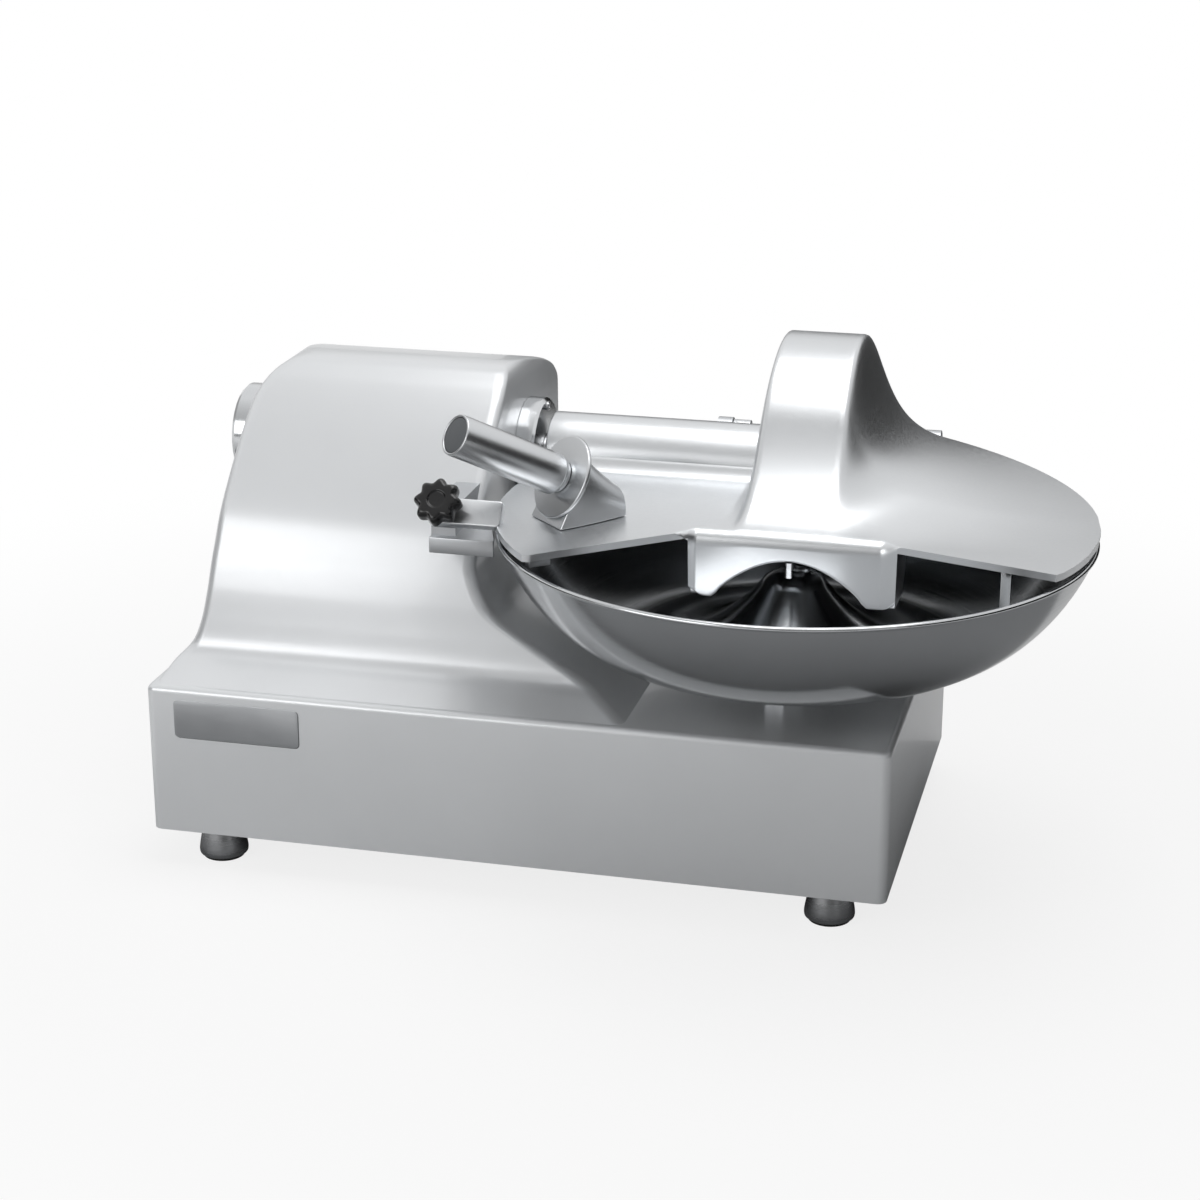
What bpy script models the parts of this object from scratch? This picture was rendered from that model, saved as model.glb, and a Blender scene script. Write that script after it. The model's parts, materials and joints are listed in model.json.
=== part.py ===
"""Bench-top bowl cutter for meat.

A motor inside a tall cast tower turns two crescent knives on a horizontal shaft. The lower
half of the knives runs in the ring-shaped trough of a round bowl, and a belt and a worm
gear turn the bowl slowly under them. A cast lid with a humped knife chamber covers the rear
of the bowl and swings up on two rear hinge posts. A knob-driven pin locks it.

Frame: metres, +Z up, +X to the bowl end, -Y to the operator, and the origin on the standing
surface below the middle of the machine.
"""

import math

import bmesh
import bpy
import numpy as np
from mathutils import Matrix, Vector

# Driving dimensions
OVERALL_LENGTH = 0.680
OVERALL_DEPTH = 0.441
OVERALL_HEIGHT = 0.385
FOOT_HEIGHT = 0.029
KNIFE_RADIUS = 0.096
KNIFE_CLEARANCE = 0.0035
KNIFE_TOP_CLEARANCE = 0.002
LID_WALL = 0.005
BOWL_WALL = 0.0025
REAR_MARGIN = 0.010
BOWL_OVERHANG = 0.1105
BASE_REACH = 0.0885
BOWL_LIFT = 0.036
TOWER_GAP = 0.013
TROUGH_MARGIN = 0.0015
RIM_DROP = 0.013
AXIS_RISE = 0.003

# Clearances that every fit uses
GAP = 0.0003
RUNNING_GAP = 0.001
OVERRUN = 0.004
MERGE = 0.00005

# Places worked out from the driving dimensions: the bowl's rim first, then what stands round it
LID_RADIUS = (OVERALL_DEPTH - REAR_MARGIN) / 2
BOWL_X = OVERALL_LENGTH / 2 - LID_RADIUS
BOWL_Y = -OVERALL_DEPTH / 2 + LID_RADIUS
SHAFT_OFFSET = (LID_RADIUS - TROUGH_MARGIN) / 2
SHAFT_Y = BOWL_Y + SHAFT_OFFSET
HUMP_RADIUS = KNIFE_RADIUS + KNIFE_TOP_CLEARANCE + LID_WALL
SHAFT_HEIGHT = OVERALL_HEIGHT - HUMP_RADIUS
LID_TOP = SHAFT_HEIGHT - AXIS_RISE
RIM_HEIGHT = SHAFT_HEIGHT - RIM_DROP
TROUGH_FLOOR = SHAFT_HEIGHT - KNIFE_RADIUS - KNIFE_CLEARANCE
TROUGH_DEPTH = RIM_HEIGHT - TROUGH_FLOOR
BASE_TOP = TROUGH_FLOOR - BOWL_WALL - BOWL_LIFT
LEFT_END = -OVERALL_LENGTH / 2
RIGHT_END = BOWL_X + BASE_REACH
REAR_END = OVERALL_DEPTH / 2
FRONT_END = -OVERALL_DEPTH / 2 + BOWL_OVERHANG
TOWER_FACE = BOWL_X - LID_RADIUS - TOWER_GAP

# Housing
WALL = 0.0035
BASE_CORNER = 0.006
BASE_EDGE = 0.004
TOWER_CROWN = 0.0745
TOWER_TOP_FRONT = 0.038
TOWER_TOP_REAR = 0.016
TOWER_LEFT_SETBACK = 0.072
TOWER_REAR_STEP = 0.0085
TOWER_HEIGHT = SHAFT_HEIGHT + TOWER_CROWN - BASE_TOP
TOWER_FRONT_SETBACK = SHAFT_Y - TOWER_TOP_FRONT - FRONT_END
TOWER_REAR_SETBACK = REAR_END - TOWER_REAR_STEP - SHAFT_Y + TOWER_TOP_REAR
RAMP_REACH = 0.134
TOWER_CORNER = 0.009
TOWER_EDGE_STEP = 0.0001
CORNER_STEPS = 3
TOWER_FACE_SHARE = 0.067
# Height, then how far each side has moved from foot to top, up the tower
TOWER_SHARES = (
    (0.000, 0.083, 1.000, 0.034, 0.000),
    (0.042, 0.145, 0.843, 0.155, 0.048),
    (0.066, 0.208, 0.754, 0.218, 0.063),
    (0.099, 0.278, 0.642, 0.247, 0.071),
    (0.184, 0.361, 0.396, 0.270, 0.079),
    (0.254, 0.396, 0.216, 0.287, 0.079),
    (0.287, 0.410, 0.164, 0.296, 0.079),
    (0.375, 0.432, 0.090, 0.329, 0.079),
    (0.430, 0.446, TOWER_FACE_SHARE, 0.357, 0.079),
    (0.522, 0.465, TOWER_FACE_SHARE, 0.408, 0.079),
    (0.664, 0.500, TOWER_FACE_SHARE, 0.529, 0.079),
    (0.805, 0.542, TOWER_FACE_SHARE, 0.672, 0.087),
    (0.866, 0.569, TOWER_FACE_SHARE, 0.744, 0.175),
    (0.913, 0.618, TOWER_FACE_SHARE, 0.805, 0.349),
    (0.951, 0.694, 0.060, 0.862, 0.571),
    (0.974, 0.778, 0.049, 0.911, 0.746),
    (0.991, 0.875, 0.030, 0.954, 0.905),
    (1.000, 1.000, 0.000, 1.000, 1.000),
)
COVER_THICKNESS = 0.003
FOOT_RADIUS = 0.0185
FOOT_INSET_X = 0.044
FOOT_INSET_Y = 0.030
# Radius and height of a turned foot, from its top down
FOOT_SHARES = ((0.72, 1.0), (0.80, 0.86), (0.90, 0.62), (0.98, 0.40), (1.0, 0.26), (0.97, 0.12), (0.86, 0.0))

# Shaft, motor and drive
SHAFT_RADIUS = 0.0125
BEARING_RADIUS = 0.026
BEARING_WIDTH = 0.015
HOUSING_FLANGE_RADIUS = 0.041
HOUSING_FLANGE_WIDTH = 0.0145
HOUSING_SPIGOT_RADIUS = 0.036
HOUSING_SPIGOT_WIDTH = 0.024
CAP_RADIUS = 0.038
CAP_WALL = 0.004
CAP_INSET = 0.006
CAP_DEPTH = 0.049
MOTOR_RADIUS = 0.050
MOTOR_BORE = 0.044
FIN_COUNT = 20
FIN_DEPTH = 0.005
BELL_WIDTH = 0.016
STATOR_WALL = 0.013
ROTOR_GAP = 0.0007
PULLEY_WIDTH = 0.016
DRIVE_PULLEY_RADIUS = 0.020
DRIVEN_PULLEY_RADIUS = 0.040
PULLEY_GROOVE = 0.004
BELT_WIDTH = 0.010
BELT_THICKNESS = 0.004
FAN_RADIUS = 0.031
FAN_WIDTH = 0.012
FAN_BLADES = 7
STAND_LENGTH = 0.036
STAND_WINDOW = 0.028
STAND_HALF_FOOT = 0.060

# Worm gear under the bowl
WORM_DROP = 0.056
WORM_HEIGHT = BASE_TOP - WORM_DROP
WORM_RADIUS = 0.010
WORM_LENGTH = 0.044
WORM_SHAFT_RADIUS = 0.007
WHEEL_RADIUS = 0.030
WHEEL_WIDTH = 0.014
WHEEL_TEETH = 30
TOOTH_DEPTH = 0.0022
WORM_BEARING_RADIUS = 0.014
WORM_BEARING_WIDTH = 0.009
GEARBOX_WALL = 0.010
GEARBOX_SIDE = 0.006
GEARBOX_DROP = 0.092
GEARBOX_FLOOR = BASE_TOP - GEARBOX_DROP
SPINDLE_RADIUS = 0.0125
SPINDLE_HEAD_HEIGHT = 0.030
PEDESTAL_RADIUS = 0.032
PEDESTAL_HEIGHT = 0.030
SPINDLE_BEARING_RADIUS = 0.021
SPINDLE_BEARING_WIDTH = 0.010

# Bowl
DOME_HEIGHT = 0.055
DOME_CAP_RADIUS = 0.022
DOME_CAP_SHARES = (0.0, 0.45, 0.78, 1.0)
RIM_LIP = 0.0018
TROUGH_HALF_WIDTH = LID_RADIUS - SHAFT_OFFSET - BOWL_WALL / 2 - RIM_LIP
TROUGH_ROUND_SHARE = 1.119
TROUGH_ROUND = TROUGH_ROUND_SHARE * TROUGH_HALF_WIDTH
BOWL_STEPS = 48

# Knives
KNIFE_THICKNESS = 0.003
KNIFE_HUB_RADIUS = 0.024
KNIFE_SWEEP = math.radians(165)
KNIFE_SPACING = 0.016
NUT_RADIUS = 0.021
NUT_WIDTH = 0.012

# Lid
HUMP_HALF_WIDTH = 0.029
HUMP_DRAFT = 0.008
HUMP_FILLET = 0.011
HUMP_FRONT = 0.055
HUMP_JOIN_REACH = 0.085
HUMP_JOIN = SHAFT_OFFSET - HUMP_JOIN_REACH
HUMP_FRONT_POWER = 1.85
FAIRING_SCALE = 0.020
FAIRING_POWER = 1.5
TUNNEL_RADIUS = 0.031
TUNNEL_COLLAR = 0.0005
TUNNEL_WALL = 0.0070
TUNNEL_FILLET = 0.012
TUNNEL_SETBACK = 0.0085
TUNNEL_REACH = LID_RADIUS - TUNNEL_SETBACK
TUNNEL_PLATE_SHARE = 0.696
TUNNEL_PLATE_END = TUNNEL_PLATE_SHARE * LID_RADIUS
TUNNEL_CLEAR_END = 0.110
LEFT_CORNER_TURN = math.radians(-139.55)
RIGHT_CORNER_TURN = math.radians(-25.8)
LEFT_CORNER = (LID_RADIUS * math.cos(LEFT_CORNER_TURN), LID_RADIUS * math.sin(LEFT_CORNER_TURN))
LEFT_JOIN = (-0.062, -HUMP_FRONT)
RIGHT_JOIN = (0.070, -HUMP_FRONT)
RIGHT_CORNER = (LID_RADIUS * math.cos(RIGHT_CORNER_TURN), LID_RADIUS * math.sin(RIGHT_CORNER_TURN))
SKIRT_WALL = 0.005
SKIRT_LEFT = 0.066
SKIRT_RIGHT = 0.081
SKIRT_DEPTH = 0.044
SKIRT_RETURN = 0.050
ARCH_LEFT = 0.047
ARCH_RIGHT = 0.057
ARCH_RISE = 0.027
ARCH_FOOT = 0.041

# Hinge
HINGE_INSET = 0.0105
HINGE_PIN_RADIUS = 0.004
KNUCKLE_RADIUS = 0.0075
KNUCKLE_WIDTH = 0.014
POST_RADIUS = 0.009
POST_WIDTH = 0.012
POST_FOOT = 0.026
POST_FLANGE = 0.006
HINGE_LEFT = -0.094
HINGE_RIGHT = 0.072
HINGE_ARM = 0.034
ARM_SHARE = 0.45

# Handle on the lid
HANDLE_INSET = 0.048
HANDLE_PLACE_TURN = math.radians(-160.8)
HANDLE_X = (LID_RADIUS - HANDLE_INSET) * math.cos(HANDLE_PLACE_TURN)
HANDLE_Y = (LID_RADIUS - HANDLE_INSET) * math.sin(HANDLE_PLACE_TURN)
HANDLE_RISE = 0.032
HANDLE_TURN = math.radians(45)
HANDLE_TILT = math.radians(27)
HANDLE_RADIUS = 0.015
HANDLE_LENGTH = 0.094
HANDLE_NECK = 0.006
DISC_RADIUS = 0.0305
DISC_THICKNESS = 0.003
END_CAP_THICKNESS = 0.004
CAST_BOSS_HALF_WIDTH = 0.021
CAST_BOSS_LENGTH = 0.056
CAST_BOSS_RISE = 0.050

# Lid lock
LOCK_STANDOFF = 0.026
LOCK_FORWARD = 0.067
LOCK_LIFT = 0.0017
LOCK_X = BOWL_X - LID_RADIUS - LOCK_STANDOFF
LOCK_Y = BOWL_Y - LOCK_FORWARD
LOCK_Z = LID_TOP + LOCK_LIFT
LOCK_TILT = math.radians(50)
LOCK_PLATE = 0.008
LOCK_HALF_WIDTH = 0.010
LOCK_REACH = 0.043
PIN_RADIUS = 0.003
PIN_TRAVEL = 0.004
PIN_LENGTH = 0.020
KNOB_RADIUS = 0.0175
KNOB_LOBES = 8
KNOB_LOBE_DEPTH = 0.0016
LOBE_STEPS = 4
KNOB_WIDTH = 0.012
KNOB_HUB_RADIUS = 0.0075
KNOB_HUB_LENGTH = 0.008
BRACKET_DROP = 0.0257
BRACKET_THICKNESS = 0.012
BRACKET_MARGIN = 0.0095
BRACKET_LENGTH = 0.048
BRACKET_NOSE = 0.012
BRACKET_DEPTH = 0.084
BRACKET_LEFT = LOCK_X - BRACKET_MARGIN
BRACKET_RIGHT = BRACKET_LEFT + BRACKET_LENGTH
BRACKET_FRONT = LOCK_Y - BRACKET_NOSE
BRACKET_REAR = BRACKET_FRONT + BRACKET_DEPTH
BRACKET_BOTTOM = LOCK_Z - BRACKET_DROP

# Small lid pieces
SCRAPER_INSET = 0.040
SCRAPER_TURN = math.radians(-25.7)
SCRAPER_X = (LID_RADIUS - SCRAPER_INSET) * math.cos(SCRAPER_TURN)
SCRAPER_Y = (LID_RADIUS - SCRAPER_INSET) * math.sin(SCRAPER_TURN)
SCRAPER_WIDTH = 0.007
SCRAPER_THICKNESS = 0.004
SCRAPER_DROP = 0.042
ARCH_PIN_RADIUS = 0.003
ARCH_PIN_LENGTH = 0.011
TAB_INSET = 0.0147
TAB_TURN = math.radians(-141.9)
TAB_X = (LID_RADIUS - TAB_INSET) * math.cos(TAB_TURN)
TAB_Y = (LID_RADIUS - TAB_INSET) * math.sin(TAB_TURN)
TAB_LENGTH = 0.016
TAB_WIDTH = 0.007
TAB_DROP = 0.006

# Switches and power inlet
SWITCH_INSET = 0.090
SWITCH_DROP = 0.054
SWITCH_Y = FRONT_END + SWITCH_INSET
SWITCH_Z = BASE_TOP - SWITCH_DROP
SWITCH_SPACING = 0.030
SWITCH_OPENING = (0.062, 0.034)
SWITCH_LAND = 0.006
SWITCH_PLATE = 0.003
BUTTON_RADIUS = 0.011
BUTTON_TRAVEL = 0.003
STEM_RADIUS = 0.006
STEM_LENGTH = 0.0075
CONTACT_DEPTH = 0.017
INLET_INSET = 0.090
INLET_DROP = 0.069
INLET_X = LEFT_END + INLET_INSET
INLET_Z = BASE_TOP - INLET_DROP
INLET_BODY = (0.030, 0.024)
INLET_SOCKET = (0.024, 0.018)
INLET_DEPTH = 0.024
INLET_FLANGE = 0.006
SOCKET_DEPTH = 0.015

TURN = 2 * math.pi
SMALL_STEPS = 16
MEDIUM_STEPS = 28

PALETTE = {
    "painted_casting": ((0.80, 0.81, 0.82), 0.38, 0.25),
    "cast_aluminium": ((0.72, 0.73, 0.74), 0.34, 1.0),
    "polished_steel": ((0.62, 0.63, 0.65), 0.16, 1.0),
    "turned_steel": ((0.40, 0.40, 0.42), 0.30, 1.0),
    "knife_steel": ((0.74, 0.75, 0.77), 0.14, 1.0),
    "motor_iron": ((0.10, 0.13, 0.16), 0.55, 0.2),
    "copper_winding": ((0.62, 0.27, 0.12), 0.40, 0.9),
    "bearing_steel": ((0.66, 0.67, 0.69), 0.22, 1.0),
    "bronze": ((0.58, 0.38, 0.16), 0.35, 1.0),
    "belt_rubber": ((0.03, 0.03, 0.03), 0.80, 0.0),
    "black_plastic": ((0.02, 0.02, 0.02), 0.25, 0.0),
    "green_plastic": ((0.05, 0.40, 0.12), 0.35, 0.0),
    "red_plastic": ((0.62, 0.04, 0.03), 0.35, 0.0),
    "grey_plastic": ((0.20, 0.21, 0.22), 0.50, 0.0),
}


def clear_scene():
    """Remove the objects that a new file holds."""
    for item in list(bpy.data.objects):
        bpy.data.objects.remove(item)


def make_collection(name):
    """Return a new collection linked to the scene."""
    group = bpy.data.collections.new(name)
    bpy.context.scene.collection.children.link(group)
    return group


def make_material(name):
    """Return the Principled material of a palette entry."""
    colour, roughness, metallic = PALETTE[name]
    made = bpy.data.materials.get(name) or bpy.data.materials.new(name)
    made.use_nodes = True
    shader = made.node_tree.nodes["Principled BSDF"]
    shader.inputs["Base Color"].default_value = (*colour, 1.0)
    shader.inputs["Roughness"].default_value = roughness
    shader.inputs["Metallic"].default_value = metallic
    return made


class Workshop:
    """Makes the pieces and keeps them in their two collections."""

    def __init__(self):
        self.parts = make_collection("meat_bowl_cutter")
        self.cutters = make_collection("cutters")
        self.count = 0

    def add(self, name, mesh, finish, frame=Matrix.Identity(4)):
        """Add a mesh as a named part."""
        piece = bpy.data.objects.new(name, mesh)
        mesh.materials.append(make_material(finish))
        mesh.shade_smooth()
        mesh.set_sharp_from_angle(angle=math.radians(35))
        piece.matrix_world = frame
        self.parts.objects.link(piece)
        return piece

    def guide(self, mesh, frame=Matrix.Identity(4)):
        """Add a mesh as a hidden tool for a Boolean."""
        self.count += 1
        tool = bpy.data.objects.new(f"tool_{self.count:02d}", mesh)
        tool.matrix_world = frame
        tool.display_type = "WIRE"
        tool.hide_render = True
        self.cutters.objects.link(tool)
        return tool

    def boolean(self, piece, operation, mesh, frame=Matrix.Identity(4)):
        """Cut or join a tool mesh with a part."""
        tool = self.guide(mesh, frame)
        change = piece.modifiers.new(operation.lower(), "BOOLEAN")
        change.operation = operation
        change.solver = "EXACT"
        change.object = tool

    def cut(self, piece, mesh, frame=Matrix.Identity(4)):
        """Take a tool mesh away from a part."""
        self.boolean(piece, "DIFFERENCE", mesh, frame)

    def join(self, piece, mesh, frame=Matrix.Identity(4)):
        """Join a tool mesh to a part."""
        self.boolean(piece, "UNION", mesh, frame)


def at(x, y, z):
    """Return a frame that only moves."""
    return Matrix.Translation((x, y, z))


def along(direction, origin):
    """Return a frame whose local Z runs along a direction, with local X kept level."""
    up = Vector(direction).normalized()
    side = Vector((-up.y, up.x, 0.0))
    side = side.normalized() if side.length > MERGE else Vector((1.0, 0.0, 0.0))
    other = up.cross(side)
    turned = Matrix((side, other, up)).transposed().to_4x4()
    return Matrix.Translation(origin) @ turned


def along_x(x, y=SHAFT_Y, z=SHAFT_HEIGHT):
    """Return a frame at a place on an axis parallel to X, with local Z along +X."""
    return Matrix.Translation((x, y, z)) @ Matrix.Rotation(math.pi / 2, 4, "Y")


def block(size, centre=(0, 0, 0), bevel=0.0):
    """Return a box mesh, with its edges rounded when a bevel is given."""
    shape = bmesh.new()
    bmesh.ops.create_cube(shape, size=1.0)
    bmesh.ops.scale(shape, vec=size, verts=shape.verts)
    bmesh.ops.translate(shape, vec=centre, verts=shape.verts)
    if bevel:
        bmesh.ops.bevel(shape, geom=shape.edges[:], offset=bevel, segments=2, profile=0.5, affect="EDGES")
    return to_mesh(shape)


def span(low, high, bevel=0.0):
    """Return a box mesh between two corners."""
    size = [b - a for a, b in zip(low, high)]
    centre = [(a + b) / 2 for a, b in zip(low, high)]
    return block(size, centre, bevel)


def to_mesh(shape):
    """Turn a bmesh into a mesh."""
    mesh = bpy.data.meshes.new("shape")
    shape.to_mesh(mesh)
    shape.free()
    return mesh


def rod(radius, low, high, steps=SMALL_STEPS):
    """Return a cylinder mesh along local Z between two heights."""
    shape = bmesh.new()
    bmesh.ops.create_cone(shape, cap_ends=True, segments=steps, radius1=radius, radius2=radius, depth=high - low)
    bmesh.ops.translate(shape, vec=(0, 0, (low + high) / 2), verts=shape.verts)
    return to_mesh(shape)


def turned(shop, name, profile, finish, frame, steps=MEDIUM_STEPS, closed=False):
    """Turn a profile of (radius, height) points, top to bottom down its outer side."""
    mesh = bpy.data.meshes.new(name)
    points = [(radius, 0, height) for radius, height in profile]
    edges = [(i, i + 1) for i in range(len(points) - 1)]
    if closed:
        edges.append((len(points) - 1, 0))
    mesh.from_pydata(points, edges, [])
    piece = shop.add(name, mesh, finish, frame)
    spin = piece.modifiers.new("turn", "SCREW")
    spin.angle = TURN
    spin.steps = steps
    spin.render_steps = steps
    spin.use_merge_vertices = True
    spin.merge_threshold = MERGE
    spin.use_smooth_shade = True
    return piece


def ring(shop, name, outer, inner, low, high, finish, frame, steps=SMALL_STEPS, chamfer=0.0):
    """Turn a plain ring, with chamfered outer corners when asked."""
    profile = [(inner, high), (outer - chamfer, high)]
    if chamfer:
        profile += [(outer, high - chamfer), (outer, low + chamfer)]
        profile += [(outer - chamfer, low), (inner, low)]
    else:
        profile += [(outer, low), (inner, low)]
    return turned(shop, name, profile, finish, frame, steps, closed=True)


def outline(loops, thickness):
    """Return a flat plate of a 2D outline, its later loops being holes, centred on local Z."""
    curve = bpy.data.curves.new("outline", "CURVE")
    curve.dimensions = "2D"
    curve.fill_mode = "BOTH"
    curve.extrude = thickness / 2
    for loop in loops:
        spline = curve.splines.new("POLY")
        spline.points.add(len(loop) - 1)
        spline.points.foreach_set("co", [v for x, y in loop for v in (x, y, 0.0, 1.0)])
        spline.use_cyclic_u = True
    holder = bpy.data.objects.new("outline", curve)
    bpy.context.scene.collection.objects.link(holder)
    state = bpy.context.evaluated_depsgraph_get()
    mesh = bpy.data.meshes.new_from_object(holder.evaluated_get(state))
    bpy.data.objects.remove(holder)
    bpy.data.curves.remove(curve)
    shape = bmesh.new()
    shape.from_mesh(mesh)
    bmesh.ops.remove_doubles(shape, verts=shape.verts, dist=MERGE)
    bmesh.ops.recalc_face_normals(shape, faces=shape.faces)
    shape.to_mesh(mesh)
    shape.free()
    return mesh


def circle(radius, steps=SMALL_STEPS, centre=(0.0, 0.0)):
    """Return the points of a circle."""
    turns = [TURN * i / steps for i in range(steps)]
    return [(centre[0] + radius * math.cos(a), centre[1] + radius * math.sin(a)) for a in turns]


def arc(radius, start, stop, steps, centre=(0.0, 0.0)):
    """Return the points of an arc, both ends included."""
    turns = np.linspace(start, stop, steps + 1)
    return [(centre[0] + radius * math.cos(a), centre[1] + radius * math.sin(a)) for a in turns]


def loft(rings, cap_first=True, cap_last=True):
    """Return a mesh through rings of points, each ring turning left seen from the last one."""
    count = len(rings[0])
    points = [point for loop in rings for point in loop]
    faces = []
    for level in range(len(rings) - 1):
        low, high = level * count, (level + 1) * count
        for i in range(count):
            j = (i + 1) % count
            faces.append((low + i, low + j, high + j, high + i))
    if cap_first:
        faces.append(tuple(reversed(range(count))))
    if cap_last:
        faces.append(tuple(range(len(points) - count, len(points))))
    mesh = bpy.data.meshes.new("loft")
    mesh.from_pydata(points, [], faces)
    return mesh


def rounded_rectangle(left, right, front, rear, radius):
    """Return the points of a rectangle with rounded corners, turning left from the rear right."""
    corners = (
        (right - radius, rear - radius, 0.0),
        (left + radius, rear - radius, 0.25),
        (left + radius, front + radius, 0.5),
        (right - radius, front + radius, 0.75),
    )
    points = []
    for x, y, share in corners:
        start = TURN * share
        points += arc(radius, start, start + TURN / 4, CORNER_STEPS, (x, y))
    return points


def lift(points, z):
    """Give flat points a height."""
    return [(x, y, z) for x, y in points]


# Housing

def tower_rings(extra=0.0):
    """Return the level outlines of the tower, grown outwards by a margin."""
    rings = []
    for rise, left, right, front, rear in TOWER_SHARES:
        sides = rounded_rectangle(
            LEFT_END + left * TOWER_LEFT_SETBACK - extra,
            TOWER_FACE + (right - TOWER_FACE_SHARE) * RAMP_REACH + extra,
            FRONT_END + front * TOWER_FRONT_SETBACK - extra,
            REAR_END - TOWER_REAR_STEP - rear * TOWER_REAR_SETBACK + extra,
            TOWER_CORNER,
        )
        rings.append(lift(sides, BASE_TOP + TOWER_EDGE_STEP + rise * TOWER_HEIGHT + extra))
    return rings


def base_rings():
    """Return the level outlines of the base box, up to its rounded top edge."""
    rings = []
    quarter = [TURN / 4 * share for share in (0.0, 0.4, 0.75, 1.0)]
    levels = [(0.0, FOOT_HEIGHT)]
    for turn in quarter:
        inset = BASE_EDGE * (1 - math.cos(turn))
        levels.append((inset, BASE_TOP - BASE_EDGE * (1 - math.sin(turn))))
    for inset, z in levels:
        sides = rounded_rectangle(
            LEFT_END + inset, RIGHT_END - inset, FRONT_END + inset, REAR_END - inset, BASE_CORNER
        )
        rings.append(lift(sides, z))
    return rings


def make_housing(shop):
    """Make the one-piece cast housing: base box, ramp and leaning tower, open below."""
    mesh = loft(base_rings() + tower_rings(), cap_first=False)
    housing = shop.add("housing", mesh, "painted_casting")
    wall = housing.modifiers.new("wall", "SOLIDIFY")
    wall.thickness = WALL
    wall.offset = -1.0
    wall.use_even_offset = True
    shop.cut(housing, rod(HOUSING_SPIGOT_RADIUS + GAP, -OVERRUN - WALL, OVERRUN, MEDIUM_STEPS), along_x(TOWER_FACE))
    cap_hole = rod(CAP_RADIUS + GAP, 0, TOWER_LEFT_SETBACK + OVERRUN, MEDIUM_STEPS)
    shop.cut(housing, cap_hole, along_x(LEFT_END))
    shop.cut(housing, rod(SPINDLE_RADIUS + RUNNING_GAP, -OVERRUN - WALL, OVERRUN), at(BOWL_X, BOWL_Y, BASE_TOP))
    wide, high = SWITCH_OPENING
    shop.cut(housing, block((WALL + 2 * OVERRUN, wide, high)), at(LEFT_END, SWITCH_Y, SWITCH_Z))
    wide, high = INLET_BODY
    opening = block((wide + 2 * GAP, WALL + 2 * OVERRUN, high + 2 * GAP))
    shop.cut(housing, opening, at(INLET_X, REAR_END, INLET_Z))
    return housing


def make_base_cover(shop):
    """Make the bottom plate that closes the base between its walls."""
    inset = WALL + GAP
    sides = rounded_rectangle(
        LEFT_END + inset, RIGHT_END - inset, FRONT_END + inset, REAR_END - inset, BASE_CORNER - WALL
    )
    rings = [lift(sides, FOOT_HEIGHT + GAP), lift(sides, FOOT_HEIGHT + GAP + COVER_THICKNESS)]
    return shop.add("base_cover", loft(rings), "turned_steel")


def make_feet(shop):
    """Make the four turned feet."""
    profile = [(0.0, FOOT_HEIGHT)]
    profile += [(radius * FOOT_RADIUS, height * FOOT_HEIGHT) for radius, height in FOOT_SHARES]
    profile.append((0.0, 0.0))
    columns = (("left", LEFT_END + FOOT_INSET_X), ("right", RIGHT_END - FOOT_INSET_X))
    rows = (("front", FRONT_END + FOOT_INSET_Y), ("rear", REAR_END - FOOT_INSET_Y))
    for row, y in rows:
        for column, x in columns:
            turned(shop, f"{row}_{column}_foot", profile, "turned_steel", at(x, y, 0.0), SMALL_STEPS)


# Motor and knife shaft, placed from the tower's right face leftwards

HOUSING_LEFT = TOWER_FACE - HOUSING_SPIGOT_WIDTH
HOUSING_RIGHT = TOWER_FACE + GAP + HOUSING_FLANGE_WIDTH
PULLEY_RIGHT = HOUSING_LEFT - 4 * RUNNING_GAP
PULLEY_LEFT = PULLEY_RIGHT - PULLEY_WIDTH
BELL_RIGHT = PULLEY_LEFT - 4 * RUNNING_GAP
MOTOR_RIGHT = BELL_RIGHT - BELL_WIDTH - GAP
CAP_END = LEFT_END + CAP_INSET
BELL_LEFT = CAP_END + CAP_DEPTH + GAP
MOTOR_LEFT = BELL_LEFT + BELL_WIDTH + GAP
MOTOR_LENGTH = MOTOR_RIGHT - MOTOR_LEFT
FAN_LEFT = CAP_END + CAP_WALL + 4 * RUNNING_GAP
SHAFT_END = FAN_LEFT + 2 * RUNNING_GAP
KNIFE_END = BOWL_X + KNIFE_SPACING + NUT_WIDTH + 4 * RUNNING_GAP


def make_motor(shop):
    """Make the finned motor frame, its windings, its two end bells and the stand below."""
    fins = []
    for i in range(FIN_COUNT):
        for share, radius in ((-0.3, MOTOR_RADIUS), (-0.18, MOTOR_RADIUS + FIN_DEPTH),
                              (0.18, MOTOR_RADIUS + FIN_DEPTH), (0.3, MOTOR_RADIUS)):
            turn = TURN * (i + share) / FIN_COUNT
            fins.append((radius * math.cos(turn), radius * math.sin(turn)))
    middle = (MOTOR_LEFT + MOTOR_RIGHT) / 2
    frame = outline([fins, circle(MOTOR_BORE, MEDIUM_STEPS)], MOTOR_LENGTH)
    shop.add("motor_frame", frame, "motor_iron", along_x(middle))
    core_outer = MOTOR_BORE - 2 * GAP
    half = MOTOR_LENGTH / 2 - 4 * RUNNING_GAP
    ring(shop, "stator_core", core_outer, core_outer - STATOR_WALL, -half, half, "copper_winding", along_x(middle))


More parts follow.
